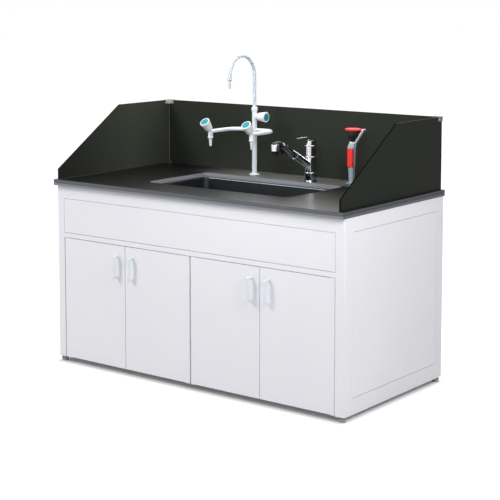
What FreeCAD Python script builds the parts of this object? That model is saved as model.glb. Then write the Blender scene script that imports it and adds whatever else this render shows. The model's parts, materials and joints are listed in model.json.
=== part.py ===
# Laboratory sink table. A white cabinet on levelling feet carries a dark worktop with a bowl
# hung under its cut-out, a splash shield on three sides, a three-way laboratory tap,
# a pull-out mixer and a hand-held eyewash.
# Millimetres: x runs along the table, y from the front to the back, z up from the floor.
import FreeCAD, Part
import math
import os
from FreeCAD import Vector

# The table as a whole
table_width = 1500.0
table_depth = 750.0
worktop_height = 800.0
worktop_thickness = 25.0
front_overhang = 18.0
back_overhang = 4.0
side_overhang = 2.0
overrun = 5.0
body_gap = 0.3
running_clearance = 0.06

# Handles: bent flat bars, which stand out furthest at the front
handle_reach = 24.0
handle_length = 97.0
handle_width = 12.0
handle_bar = 5.0
handle_leg = 7.0
handle_corner = 9.0
handle_inner_corner = 4.0
handle_edge_round = 1.2
handle_inset = 40.0

# Cabinet frame
foot_height = 22.0
post_width = 43.0
post_depth = 55.0
top_rail_height = 56.0
bottom_rail_height = 63.0
frame_wall = 2.0
frame_lip = 12.0
corner_bevel = 7.0
panel_groove = 1.5
seat_lip = 12.0
ledge_width = 20.0
ledge_thickness = 2.0
ledge_setback = 60.0
rail_depth = 30.0
apron_opening = 149.5
head_rail_height = 20.0
back_rail_depth = 20.0
back_rail_height = 30.0
foot_boss_radius = 9.0
foot_boss_height = 16.0

# Boards and panels
board = 18.0
back_board = 6.0
board_round = 1.0
mullion_depth = 60.0
partition_headroom = 12.0

# Doors and their pivots
door_top_gap = 2.5
door_bottom_gap = 3.0
door_hinge_gap = 3.0
door_pair_gap = 2.5
door_centre_gap = 6.0
door_edge_round = 1.5
door_hinge_round = 4.0
door_back_gap = 3.0
pivot_inset = 6.0
pivot_setback = 6.0
pivot_radius = 3.0
pivot_length = 14.0
pivot_shoulder = 5.0
pivot_plate_width = 20.0
pivot_plate_thickness = 1.8
pivot_plate_front = 1.5
pivot_plate_length = 27.0
catch_width = 34.0
catch_depth = 11.0
catch_height = 13.0
catch_inset = 48.0
catch_gap = 0.4

# Levelling feet
foot_inset = 20.0
foot_top_radius = 16.0
foot_bottom_radius = 13.0
foot_pad_height = 15.0
foot_nut_radius = 8.0
foot_stud_radius = 4.0
foot_stud_length = 40.0

# Worktop
worktop_corner = 5.0
worktop_bevel = 2.0
edge_groove_height = 1.2
edge_groove_depth = 1.0
lower_layer = 10.0
cutout_width = 738.0
deck_depth = 164.0
cutout_front_margin = 164.0
cutout_corner = 30.0

# Bowl under the cut-out, and its waste
bowl_reveal = 4.0
bowl_depth = 250.0
bowl_wall = 1.5
bowl_floor_round = 18.0
bowl_flange = 14.0
clip_width = 24.0
clip_reach = 16.0
clip_grip = 10.0
clip_sheet = 2.0
clip_place_share = 0.72
drain_offset = 160.0
drain_hole_radius = 45.5
drain_lip_radius = 57.0
drain_lip = 2.0
drain_lip_slope = 3.0
drain_body_radius = 44.5
drain_wall = 2.5
drain_body_depth = 38.0
drain_cone = 10.0
drain_spigot_radius = 21.0
drain_spigot_length = 26.0
drain_nut_radius = 60.0
drain_nut_height = 12.0
strainer_radius = 40.0
strainer_rim_radius = 53.0
strainer_depth = 30.0
strainer_sheet = 1.5
strainer_post_radius = 3.0
strainer_post_height = 8.0
strainer_knob_radius = 9.0
strainer_knob_height = 7.0
strainer_hole_radius = 3.0
strainer_hole_count = 8
strainer_ring_share = 0.62
trap_pipe_radius = 20.0
trap_bore_radius = 18.0
trap_bend = 45.0
trap_drop = 165.0
trap_riser = 24.0
trap_collar_radius = 28.0
trap_seat = 10.0
trap_collar_lap = 20.0
trap_wall_gap = 2.0

# Splash shield
shield_height = 298.0
shield_thickness = 8.0
shield_side_inset = 17.5
shield_back_inset = 4.0
shield_front_inset = 10.0
shield_front_height = 45.0
shield_slope_run = 387.0
shield_edge_bevel = 0.8
shield_clip_leg = 36.0
shield_clip_height = 17.0
shield_clip_sheet = 2.0
shield_foot_leg = 13.0
shield_foot_height = 11.0

# Deck fittings: distances from the middle plane and from the cut-out's back edge
tap_offset = 148.0
tap_setback = 68.0
mixer_offset = 179.0
mixer_setback = 32.0
eyewash_margin = 39.0
eyewash_setback = 4.0
deck_hole_clearance = 0.5
lock_nut_height = 10.0
lock_nut_margin = 5.0
shank_length = 55.0
nut_sides = 6

# Laboratory tap
tap_column_radius = 10.8
tap_column_height = 281.0
tap_shank_radius = 10.0
tap_bore_radius = 5.0
tap_flange_radius = 24.0
tap_flange_height = 8.0
tap_flange_rim = 3.0
tap_flange_neck = 12.5
swivel_nut_radius = 13.5
swivel_nut_height = 19.0
swivel_nut_round = 2.5
swivel_ring_radius = 9.8
swivel_ring_height = 3.0
swivel_seat_depth = 20.0
gooseneck_radius = 8.3
gooseneck_bore = 6.3
gooseneck_bend = 87.5
gooseneck_straight = 160.0
gooseneck_drop = 5.0
arm_radius = 8.5
arm_bore = 5.5
arm_height = 199.0
arm_spread = 113.0
arm_reach = 168.0
arm_bend = 50.0
valve_radius = 10.5
valve_drop = 19.0
valve_crown = 8.0
valve_stem_radius = 8.5
valve_stem_length = 13.0
knob_tilt = 48.0
spindle_radius = 4.0
spindle_length = 20.0
top_valve_height = 258.0
top_stem_length = 18.0
knob_base_radius = 13.0
knob_shoulder_radius = 16.5
knob_shoulder = 3.0
knob_face_radius = 22.5
knob_length = 47.0
knob_face_round = 1.5
knob_recess = 1.5
knob_cap_radius = 17.5
knob_cap_thickness = 3.0
nozzle_collar_radius = 12.0
nozzle_collar_height = 14.0
nozzle_collar_round = 4.0
nozzle_root_radius = 6.5
nozzle_tip_radius = 4.5
nozzle_length = 32.0
nozzle_bore = 2.5
nozzle_barb = 0.9
nozzle_barb_count = 4

# Pull-out mixer
mixer_base_radius = 25.5
mixer_base_flare = 27.0
mixer_base_height = 39.0
mixer_flare_height = 9.0
mixer_ring_radius = 27.0
mixer_ring_height = 3.0
mixer_core_radius = 15.0
mixer_shank_radius = 11.0
mixer_bore_radius = 7.0
mixer_sleeve_height = 64.4
mixer_body_radius = 25.0
mixer_body_height = 50.0
hub_radius = 23.5
hub_height = 23.5
hub_round = 4.0
hub_stud_radius = 6.0
hub_stud_height = 7.0
mixer_turn = 8.0
spout_tilt = 30.5
spout_root_rise = 22.5
spout_radius = 16.5
spout_length = 107.0
spout_bore_radius = 11.0
spout_bore_depth = 82.0
spigot_length = 78.0
wand_gap = 0.4
wand_end_radius = 13.0
wand_length = 113.5
wand_ring = 3.0
wand_ring_proud = 0.7
wand_stud_radius = 4.0
spray_reach = 215.5
spray_crown = 168.0
spray_radius = 17.5
spray_height = 18.5
spray_foot = 19.5
spray_foot_radius = 15.5
toggle_radius = 8.0
toggle_length = 34.0
toggle_back = 30.0
lever_length = 84.0
lever_width = 15.0
lever_thickness = 4.5
lever_rise = 7.0
lever_lift = 3.5
lever_tongue = 7.0
lever_tongue_reach = 6.0
lever_tongue_drop = 10.5
lever_slot_floor = 9.5
lever_slot_clearance = 0.5
lever_slot_back = 8.0
lever_pin_radius = 2.0
lever_pin_drop = 6.0
lever_pin_forward = 5.0
lever_pin_length = 15.0

# Hand-held eyewash in its funnel-shaped holder
holder_foot_radius = 13.0
holder_foot_height = 2.0
holder_top_radius = 23.5
holder_rim_height = 3.0
holder_height = 20.0
holder_cup_radius = 20.5
holder_cup_floor_radius = 15.0
holder_cup_depth = 8.0
holder_shank_radius = 9.0
hose_tail_radius = 6.0
hose_tail_length = 80.0
eyewash_foot_width = 20.0
eyewash_foot_depth = 20.0
eyewash_width = 30.0
eyewash_body_depth = 26.0
eyewash_body_height = 154.5
eyewash_shoulder = 15.5
eyewash_front_round = 3.0
eyewash_back_round = 8.0
neck_radius = 12.0
neck_height = 16.0
neck_setback = 5.5
neck_top_width = 26.0
neck_top_depth = 25.0
squeeze_drop = 5.0
squeeze_length = 76.0
squeeze_width = 26.0
squeeze_thickness = 8.0
squeeze_proud = 2.5
squeeze_back_gap = 7.0
squeeze_round = 2.5
squeeze_pin_radius = 2.0
squeeze_pin_drop = 6.0
squeeze_lug_width = 9.0
squeeze_pin_reach = 11.0
squeeze_room = 1.0
cup_base_radius = 16.0
cup_middle_radius = 25.5
cup_rim_radius = 29.5
cup_height = 44.5
cup_middle_share = 0.5
cup_wall = 3.0
cup_lift = 7.5
cup_hub_radius = 14.0
cup_hub_height = 5.0
rose_radius = 16.0
rose_thickness = 4.0
rose_stem_radius = 6.0
rose_rise = 9.0
rose_hole_radius = 1.2
rose_hole_count = 12
rose_ring_share = 0.68
cap_radius = 32.5
cap_top = 3.5
cap_skirt = 2.5
cap_rim_clearance = 0.9
cap_edge_round = 1.2
cap_lug_width = 8.0
cap_lug_thickness = 3.0
cap_hinge_reach = 50.0
cap_eye_radius = 3.5
cap_pin_radius = 1.8
cap_ring_height = 6.0
cap_ring_wall = 3.0
cap_arm_width = 16.0
cap_arm_thickness = 3.0
cap_arm_foot = 13.0
cap_stop_length = 11.0
cap_arm_tip = 4.0

# Places worked out from the sizes above
frame_front = -(handle_reach + table_depth - front_overhang) / 2 + handle_reach
worktop_front = frame_front - front_overhang
worktop_back = worktop_front + table_depth
frame_back = worktop_back - back_overhang
frame_half = table_width / 2 - side_overhang
opening_half = frame_half - post_width
underside = worktop_height - worktop_thickness
frame_bottom = foot_height
apron_top = underside - top_rail_height
head_rail_top = apron_top - apron_opening
head_rail_bottom = head_rail_top - head_rail_height
panel_bottom = frame_bottom + bottom_rail_height
floor_board_bottom = frame_bottom + ledge_thickness
floor_board_top = floor_board_bottom + board
door_bottom = frame_bottom + door_bottom_gap
door_top = head_rail_bottom - door_top_gap
door_outer = opening_half - door_hinge_gap
door_inner = door_centre_gap / 2
door_meeting = (door_outer + door_inner) / 2
inside_front = frame_front + board + door_back_gap
shield_half = table_width / 2 - shield_side_inset
shield_back = worktop_back - shield_back_inset
shield_inner_back = shield_back - shield_thickness
shield_top = worktop_height + shield_height
cutout_front = frame_front + cutout_front_margin
cutout_back = shield_inner_back - deck_depth
cutout_depth = cutout_back - cutout_front
bowl_middle = (cutout_front + cutout_back) / 2
bowl_half_width = cutout_width / 2 - bowl_reveal
bowl_half_depth = cutout_depth / 2 - bowl_reveal
bowl_corner = cutout_corner - bowl_reveal
bowl_floor = underside - bowl_depth
bowl_bottom = bowl_floor - bowl_wall
drain_x = -drain_offset
tap_place = Vector(-tap_offset, cutout_back + tap_setback, worktop_height)
mixer_place = Vector(mixer_offset, cutout_back + mixer_setback, worktop_height)
eyewash_place = Vector(cutout_width / 2 + eyewash_margin, cutout_back + eyewash_setback, worktop_height)
up = Vector(0, 0, 1)
right = Vector(1, 0, 0)
back = Vector(0, 1, 0)
# Helpers for shapes that repeat
def block(x_low, x_high, y_low, y_high, z_low, z_high):
    corner = Vector(x_low, y_low, z_low)
    return Part.makeBox(x_high - x_low, y_high - y_low, z_high - z_low, corner)


def rod(base, length, radius, direction=up):
    return Part.makeCylinder(radius, length, base, direction)


def ring(base, length, radius, bore, direction=up):
    return rod(base, length, radius, direction).cut(rod(base, length, bore, direction))


def turned(profile, base, direction=up):
    # A solid of revolution: profile is a list of (radius, height) points off the axis
    points = [Vector(radius, 0, height) for radius, height in profile]
    face = Part.Face(Part.makePolygon(points + points[:1]))
    solid = face.revolve(Vector(0, 0, 0), up, full_turn)
    solid.Placement = FreeCAD.Placement(base, FreeCAD.Rotation(up, direction))
    return solid


def rounded_block(x_low, x_high, y_low, y_high, z_low, z_high, radius):
    # A block whose upright edges are rounded
    solid = block(x_low, x_high, y_low, y_high, z_low, z_high)
    upright = [edge for edge in solid.Edges if is_upright(edge)]
    return solid.makeFillet(radius, upright)


def is_upright(edge):
    first, last = edge.Vertexes[0].Point, edge.Vertexes[-1].Point
    return len(edge.Vertexes) == 2 and abs(first.z - last.z) > edge.Length - edge_tolerance


def edges_at_height(solid, height):
    found = []
    for edge in solid.Edges:
        if all(abs(vertex.Z - height) < edge_tolerance for vertex in edge.Vertexes):
            if abs(edge.BoundBox.ZLength) < edge_tolerance:
                found.append(edge)
    return found


edge_tolerance = 0.01
full_turn = 360.0
quarter_turn = 90.0


def extruded(points, direction):
    # A prism from a closed outline of points
    return Part.Face(Part.makePolygon(points + points[:1])).extrude(direction)


def bent_pipe(corners, bend, radius, bore):
    # A round pipe along straight runs joined by tangent bends
    pieces = []
    start = corners[0]
    for index in range(1, len(corners)):
        corner = corners[index]
        run = (corner - corners[index - 1]).normalize()
        last = index == len(corners) - 1
        end = corner if last else corner - run * bend
        if (end - start).Length > edge_tolerance:
            pieces.append(ring(start, (end - start).Length, radius, bore, run))
        if last:
            break
        turn = (corners[index + 1] - corner).normalize()
        centre = end + turn * bend
        section = pipe_section(end, run, radius, bore)
        pieces.append(section.revolve(centre, run.cross(turn), quarter_turn))
        start = corner + turn * bend
    return joined(pieces)


def pipe_section(centre, normal, radius, bore):
    outer = Part.Wire(Part.makeCircle(radius, centre, normal))
    inner = Part.Wire(Part.makeCircle(bore, centre, normal))
    return Part.Face(outer).cut(Part.Face(inner)).Faces[0]


def joined(pieces):
    whole = pieces[0]
    for piece in pieces[1:]:
        whole = whole.fuse(piece)
    return whole.removeSplitter()


def mirrored(solid):
    # The same piece on the other side of the table's middle plane
    return solid.mirror(Vector(0, 0, 0), right)


def save(node, *solids):
    shape = solids[0] if len(solids) == 1 else Part.makeCompound(list(solids))
    shape.exportStep("parts/" + node + ".step")
    print(node, len(shape.Solids), round(shape.Volume), shape.isValid())


# Cabinet frame: two welded end frames joined by cross rails
def end_frame():
    # Right-hand end: a lipped channel bent into a rectangle, open towards the cabinet's inside
    outer_low, outer_high = opening_half, frame_half
    post_front = frame_front + post_depth
    post_back = frame_back - post_depth
    frame = block(outer_low, outer_high, frame_front, frame_back, frame_bottom, underside)
    front_edges = []
    for edge in frame.Edges:
        middle = edge.CenterOfMass
        if is_upright(edge) and abs(middle.x - outer_high) < edge_tolerance:
            front_edges.append(edge)
    frame = frame.makeChamfer(corner_bevel, front_edges)
    frame = frame.cut(
        block(outer_low - overrun, outer_high + overrun, post_front, post_back, panel_bottom, apron_top)
    )
    hollow = block(
        outer_low + frame_wall,
        outer_high - frame_wall,
        frame_front + frame_wall,
        frame_back - frame_wall,
        frame_bottom + frame_wall,
        underside - frame_wall,
    )
    far_edges = []
    for edge in hollow.Edges:
        middle = edge.CenterOfMass
        if is_upright(edge) and middle.x > outer_high - 2 * frame_wall:
            far_edges.append(edge)
    hollow = hollow.makeChamfer(corner_bevel, far_edges)
    hollow = hollow.cut(
        block(
            outer_low - overrun,
            outer_high + overrun,
            post_front - frame_wall,
            post_back + frame_wall,
            panel_bottom - frame_wall,
            apron_top + frame_wall,
        )
    )
    slot = block(
        outer_low - overrun,
        outer_low + frame_wall,
        frame_front + frame_lip,
        frame_back - frame_lip,
        frame_bottom + frame_lip,
        underside - frame_lip,
    )
    slot = slot.cut(
        block(
            outer_low - overrun,
            outer_high,
            post_front - frame_lip,
            post_back + frame_lip,
            panel_bottom - frame_lip,
            apron_top + frame_lip,
        )
    )
    frame = frame.cut(hollow).cut(slot)
    seat_face = outer_high - board
    seat = block(seat_face - frame_wall, seat_face, post_front, post_back, panel_bottom, apron_top)
    seat = seat.cut(
        block(
            outer_low,
            outer_high,
            post_front + seat_lip,
            post_back - seat_lip,
            panel_bottom + seat_lip,
            apron_top - seat_lip,
        )
    )
    ledge = block(
        outer_low - ledge_width,
        outer_low + frame_wall,
        frame_front + ledge_setback,
        frame_back - ledge_setback,
        frame_bottom,
        frame_bottom + ledge_thickness,
    )
    frame = joined([frame, seat, ledge])
    for place in foot_places():
        if place.x > 0:
            frame = frame.fuse(rod(place + up * frame_bottom, foot_boss_height, foot_boss_radius))
    for place in foot_places():
        if place.x > 0:
            bore = foot_stud_radius + running_clearance
            frame = frame.cut(rod(place + up * (frame_bottom - overrun), foot_stud_length, bore))
    return frame


def foot_places():
    places = []
    for x in (-frame_half + foot_inset, frame_half - foot_inset):
        for y in (frame_front + foot_inset, frame_back - foot_inset):
            places.append(Vector(x, y, 0))
    return places


def hollow_rail(y_low, y_high, z_low, z_high):
    outer = block(-opening_half, opening_half, y_low, y_high, z_low, z_high)
    inner = block(
        -opening_half,
        opening_half,
        y_low + frame_wall,
        y_high - frame_wall,
        z_low + frame_wall,
        z_high - frame_wall,
    )
    return outer.cut(inner)


def cross_rails():
    # Front top rail and head rail carry the lips that the apron panel rests against
    lip_front = frame_front + board
    lip_back = lip_front + frame_wall
    top_rail = hollow_rail(frame_front, frame_front + rail_depth, apron_top, underside)
    top_lip = block(-opening_half, opening_half, lip_front, lip_back, apron_top - seat_lip, apron_top)
    head_rail = hollow_rail(frame_front, frame_front + rail_depth, head_rail_bottom, head_rail_top)
    head_lip = block(
        -opening_half, opening_half, lip_front, lip_back, head_rail_top, head_rail_top + seat_lip
    )
    rail_back = frame_back - back_board
    rail_front = rail_back - back_rail_depth
    back_top = hollow_rail(rail_front, rail_back, underside - back_rail_height, underside)
    back_low = hollow_rail(rail_front, rail_back, floor_board_top, floor_board_top + back_rail_height)
    return [joined([top_rail, top_lip]), joined([head_rail, head_lip]), back_top, back_low]


# Panels
def side_panel():
    panel = block(
        frame_half - board,
        frame_half,
        frame_front + post_depth + panel_groove,
        frame_back - post_depth - panel_groove,
        panel_bottom + panel_groove,
        apron_top - panel_groove,
    )
    outer = [edge for edge in panel.Edges if abs(edge.BoundBox.XMin - frame_half) < edge_tolerance]
    return panel.makeFillet(board_round, outer)


def apron_panel():
    panel = block(
        -opening_half + panel_groove,
        opening_half - panel_groove,
        frame_front,
        frame_front + board,
        head_rail_top + panel_groove,
        apron_top - panel_groove,
    )
    outer = [edge for edge in panel.Edges if abs(edge.BoundBox.YMax - frame_front) < edge_tolerance]
    return panel.makeFillet(board_round, outer)


def floor_board():
    return block(
        -opening_half,
        opening_half,
        inside_front,
        frame_back - back_board,
        floor_board_bottom,
        floor_board_top,
    )


def back_panel():
    panel = block(
        -opening_half + panel_groove,
        opening_half - panel_groove,
        frame_back - back_board,
        frame_back,
        floor_board_bottom,
        underside,
    )
    outlet = trap_corners()[-1]
    hole = rod(
        Vector(outlet.x, frame_back - back_board - overrun, outlet.z),
        back_board + 2 * overrun,
        trap_pipe_radius + trap_wall_gap,
        back,
    )
    return panel.cut(hole)


def centre_partition():
    # A board below the bowl whose front stile reaches up to the middle doors' top pivots
    rear = frame_back - back_board - back_rail_depth
    stile = inside_front + mullion_depth
    shelf = bowl_bottom - partition_headroom
    top = head_rail_bottom - pivot_plate_thickness
    outline = [
        Vector(-board / 2, inside_front, floor_board_top),
        Vector(-board / 2, rear, floor_board_top),
        Vector(-board / 2, rear, shelf),
        Vector(-board / 2, stile, shelf),
        Vector(-board / 2, stile, top),
        Vector(-board / 2, inside_front, top),
    ]
    return extruded(outline, right * board)


# Doors
def door_spans():
    # Name, hinge edge and free edge of each door, from left to right
    free_gap = door_pair_gap / 2
    return [
        ("far_left", -door_outer, -door_meeting - free_gap),
        ("mid_left", -door_inner, -door_meeting + free_gap),
        ("mid_right", door_inner, door_meeting - free_gap),
        ("far_right", door_outer, door_meeting + free_gap),
    ]


def towards(start, end):
    return 1 if end > start else -1


def pivot_place(hinge_edge, free_edge):
    return Vector(
        hinge_edge + towards(hinge_edge, free_edge) * pivot_inset, frame_front + pivot_setback, 0
    )


def door(hinge_edge, free_edge):
    low, high = min(hinge_edge, free_edge), max(hinge_edge, free_edge)
    leaf = block(low, high, frame_front, frame_front + board, door_bottom, door_top)
    for edge_x, radius in ((hinge_edge, door_hinge_round), (free_edge, door_edge_round)):
        leaf = leaf.makeFillet(radius, front_uprights(leaf, edge_x))
    place = pivot_place(hinge_edge, free_edge)
    bore = pivot_radius + running_clearance
    depth = pivot_length + body_gap
    for height in (door_bottom - overrun, door_top - depth):
        leaf = leaf.cut(rod(place + up * height, depth + overrun, bore))
    return leaf


def front_uprights(leaf, edge_x):
    found = []
    for edge in leaf.Edges:
        middle = edge.CenterOfMass
        at_front = abs(middle.y - frame_front) < edge_tolerance
        if is_upright(edge) and at_front and abs(middle.x - edge_x) < edge_tolerance:
            found.append(edge)
    return found


def handle(hinge_edge, free_edge):
    side = towards(hinge_edge, free_edge)
    middle = free_edge - side * handle_inset
    high = door_top - handle_inset
    low = high - handle_length
    outer_face = frame_front - handle_reach
    bar = block(
        middle - handle_width / 2, middle + handle_width / 2, outer_face, frame_front, low, high
    )
    corners = []
    for edge in bar.Edges:
        runs_across = edge.BoundBox.XLength > handle_width / 2
        if runs_across and abs(edge.BoundBox.YMax - outer_face) < edge_tolerance:
            corners.append(edge)
    bar = bar.makeFillet(handle_corner, corners)
    gap = block(
        middle - handle_width,
        middle + handle_width,
        outer_face + handle_bar,
        frame_front + overrun,
        low + handle_leg,
        high - handle_leg,
    )
    inner = []
    for edge in gap.Edges:
        runs_across = edge.BoundBox.XLength > handle_width / 2
        if runs_across and abs(edge.BoundBox.YMax - outer_face - handle_bar) < edge_tolerance:
            inner.append(edge)
    bar = bar.cut(gap.makeFillet(handle_inner_corner, inner))
    outline = []
    for edge in bar.Edges:
        on_side = edge.BoundBox.XLength < edge_tolerance
        if on_side and edge.BoundBox.YMin < frame_front - edge_tolerance:
            outline.append(edge)
    return bar.makeFillet(handle_edge_round, outline)


def door_pivots():
    # A plate with a pin below and above each door's hinge edge; the lower pin has a shoulder
    pivots = []
    for name, hinge_edge, free_edge in door_spans():
        place = pivot_place(hinge_edge, free_edge)
        far = hinge_edge + towards(hinge_edge, free_edge) * pivot_plate_width
        low, high = min(hinge_edge, far), max(hinge_edge, far)
        front = frame_front + pivot_plate_front
        rear = front + pivot_plate_length
        lower = floor_board_bottom
        lower_low = lower - pivot_plate_thickness
        plate = block(low, high, front, rear, lower_low, lower)
        pin = rod(place + up * lower_low, pivot_length, pivot_radius)
        shoulder = rod(place + up * lower_low, door_bottom - body_gap - lower_low, pivot_shoulder)
        pivots.append(joined([plate, pin, shoulder]))
        upper_low = head_rail_bottom - pivot_plate_thickness
        plate = block(low, high, front, rear, upper_low, head_rail_bottom)
        pin = rod(place + up * (head_rail_bottom - pivot_length), pivot_length, pivot_radius)
        pivots.append(joined([plate, pin]))
    return pivots


def door_catches():
    # Magnetic catches under the head rail, behind each door's free edge
    catches = []
    for name, hinge_edge, free_edge in door_spans():
        middle = free_edge - towards(hinge_edge, free_edge) * catch_inset
        front = frame_front + board + catch_gap
        catches.append(
            block(
                middle - catch_width / 2,
                middle + catch_width / 2,
                front,
                front + catch_depth,
                head_rail_bottom - catch_height,
                head_rail_bottom,
            )
        )
    return catches


def levelling_foot(place):
    pad = turned(
        [
            (0, 0),
            (foot_bottom_radius, 0),
            (foot_top_radius, foot_pad_height),
            (foot_nut_radius, foot_pad_height),
            (foot_nut_radius, foot_height - body_gap),
            (foot_stud_radius, foot_height - body_gap),
            (foot_stud_radius, foot_stud_length),
            (0, foot_stud_length),
        ],
        place,
    )
    return pad


# Worktop
def cutout_block(grow, z_low, z_high):
    return rounded_block(
        -cutout_width / 2 - grow,
        cutout_width / 2 + grow,
        cutout_front - grow,
        cutout_back + grow,
        z_low,
        z_high,
        cutout_corner + grow,
    )


def slab_block(shrink, z_low, z_high):
    return rounded_block(
        -table_width / 2 + shrink,
        table_width / 2 - shrink,
        worktop_front + shrink,
        worktop_back - shrink,
        z_low,
        z_high,
        worktop_corner - shrink,
    )


def worktop():
    slab = slab_block(0, underside, worktop_height)
    slab = slab.cut(cutout_block(0, underside - overrun, worktop_height + overrun))
    slab = slab.makeChamfer(worktop_bevel, edges_at_height(slab, worktop_height))
    groove_low = underside + lower_layer
    groove_high = groove_low + edge_groove_height
    outer_groove = slab_block(-overrun, groove_low, groove_high)
    outer_groove = outer_groove.cut(slab_block(edge_groove_depth, groove_low, groove_high))
    inner_groove = cutout_block(edge_groove_depth, groove_low, groove_high)
    slab = slab.cut(outer_groove).cut(inner_groove)
    for place, radius in deck_shanks():
        base = place - up * (worktop_thickness + overrun)
        slab = slab.cut(rod(base, worktop_thickness + 2 * overrun, radius + deck_hole_clearance))
    return slab


def deck_shanks():
    return [
        (tap_place, tap_shank_radius),
        (mixer_place, mixer_shank_radius),
        (eyewash_place, holder_shank_radius),
    ]


# Bowl, its clips and the waste
def bowl_block(grow, z_low, z_high):
    return rounded_block(
        -bowl_half_width - grow,
        bowl_half_width + grow,
        bowl_middle - bowl_half_depth - grow,
        bowl_middle + bowl_half_depth + grow,
        z_low,
        z_high,
        bowl_corner + grow,
    )


def sink_bowl():
    outside = bowl_block(bowl_wall, bowl_bottom, underside)
    outside = outside.makeFillet(bowl_floor_round + bowl_wall, edges_at_height(outside, bowl_bottom))
    inside = bowl_block(0, bowl_floor, underside + overrun)
    inside = inside.makeFillet(bowl_floor_round, edges_at_height(inside, bowl_floor))
    flange = bowl_block(bowl_flange, underside - bowl_wall, underside)
    bowl = outside.fuse(flange).cut(inside)
    hole_base = Vector(drain_x, bowl_middle, bowl_bottom - overrun)
    hole = rod(hole_base, bowl_wall + 2 * overrun, drain_hole_radius)
    return bowl.cut(hole).removeSplitter()


def bowl_clips():
    # Z-shaped clips that hold the bowl's flange against the worktop
    clips = []
    edge_x = bowl_half_width + bowl_flange
    edge_y = bowl_half_depth + bowl_flange
    spread = bowl_half_width * clip_place_share
    places = [(-spread, -1), (0, -1), (spread, -1), (-spread, 1), (0, 1), (spread, 1)]
    for x, side in places:
        clips.append(clip(Vector(x, bowl_middle + side * edge_y, 0), quarter_turn * side))
    for side in (-1, 1):
        clips.append(clip(Vector(side * edge_x, bowl_middle, 0), quarter_turn * (1 - side)))
    return clips


def clip(place, degrees):
    flange_bottom = underside - bowl_wall
    low = flange_bottom - clip_sheet
    grip = block(-clip_grip, body_gap + clip_sheet, -clip_width / 2, clip_width / 2, low, flange_bottom)
    riser = block(
        body_gap, body_gap + clip_sheet, -clip_width / 2, clip_width / 2, flange_bottom, underside
    )
    foot = block(
        body_gap,
        body_gap + clip_reach,
        -clip_width / 2,
        clip_width / 2,
        underside - clip_sheet,
        underside,
    )
    whole = joined([grip, riser, foot])
    whole.rotate(Vector(0, 0, 0), up, degrees)
    whole.translate(place)
    return whole


def drain_heights():
    lip_top = bowl_floor + drain_lip
    cup_bottom = bowl_floor - drain_body_depth
    spigot_top = cup_bottom - drain_cone
    return lip_top, cup_bottom, spigot_top, spigot_top - drain_spigot_length


def drain_flange():
    lip_top, cup_bottom, spigot_top, spigot_end = drain_heights()
    cup_inner = drain_body_radius - drain_wall
    spigot_inner = drain_spigot_radius - drain_wall
    profile = [
        (drain_lip_radius, bowl_floor),
        (drain_lip_radius, bowl_floor + drain_lip / 2),
        (drain_lip_radius - drain_lip_slope, lip_top),
        (cup_inner + drain_lip_slope, lip_top),
        (cup_inner, lip_top - drain_lip),
        (cup_inner, cup_bottom),
        (spigot_inner, spigot_top),
        (spigot_inner, spigot_end),
        (drain_spigot_radius, spigot_end),
        (drain_spigot_radius, spigot_top - drain_wall / 2),
        (drain_body_radius, cup_bottom - drain_wall / 2),
        (drain_body_radius, bowl_floor),
    ]
    return turned(profile, Vector(drain_x, bowl_middle, 0))


def strainer_basket():
    # A perforated cup with a rim that rests on the drain's lip and a knob to lift it by
    lip_top = drain_heights()[0]
    rim_bottom = lip_top + body_gap
    rim_top = rim_bottom + strainer_sheet
    base = rim_top - strainer_depth
    knob_low = rim_top + strainer_post_height
    inner = strainer_radius - strainer_sheet
    profile = [
        (0, base),
        (strainer_radius, base),
        (strainer_radius, rim_bottom),
        (strainer_rim_radius, rim_bottom),
        (strainer_rim_radius, rim_top),
        (inner, rim_top),
        (inner, base + strainer_sheet),
        (strainer_post_radius, base + strainer_sheet),
        (strainer_post_radius, knob_low),
        (strainer_knob_radius, knob_low + strainer_knob_height / 2),
        (strainer_post_radius, knob_low + strainer_knob_height),
        (0, knob_low + strainer_knob_height),
    ]
    centre = Vector(drain_x, bowl_middle, 0)
    basket = turned(profile, centre)
    for index in range(strainer_hole_count):
        angle = math.radians(full_turn * index / strainer_hole_count)
        reach = strainer_radius * strainer_ring_share
        place = centre + Vector(reach * math.cos(angle), reach * math.sin(angle), base - overrun)
        basket = basket.cut(rod(place, 2 * overrun, strainer_hole_radius))
    return basket


def trap_corners():
    lip_top, cup_bottom, spigot_top, spigot_end = drain_heights()
    low = spigot_end - trap_drop
    high = low + trap_riser + 2 * trap_bend
    far = bowl_middle + 2 * trap_bend
    return [
        Vector(drain_x, bowl_middle, spigot_end),
        Vector(drain_x, bowl_middle, low),
        Vector(drain_x, far, low),
        Vector(drain_x, far, high),
        Vector(drain_x, worktop_back, high),
    ]


def drain_trap():
    # The water-seal bend from the drain's spigot to the outlet in the back panel
    corners = trap_corners()
    pipe = bent_pipe(corners, trap_bend, trap_pipe_radius, trap_bore_radius)
    sleeve = ring(
        corners[0],
        trap_collar_lap,
        trap_collar_radius,
        drain_spigot_radius + running_clearance,
    )
    seat = ring(corners[0] - up * trap_seat, trap_seat, trap_collar_radius, trap_bore_radius)
    riser = corners[2] + up * trap_bend
    union = ring(riser, trap_riser, trap_collar_radius, trap_bore_radius)
    return joined([pipe, sleeve, seat, union])


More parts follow.
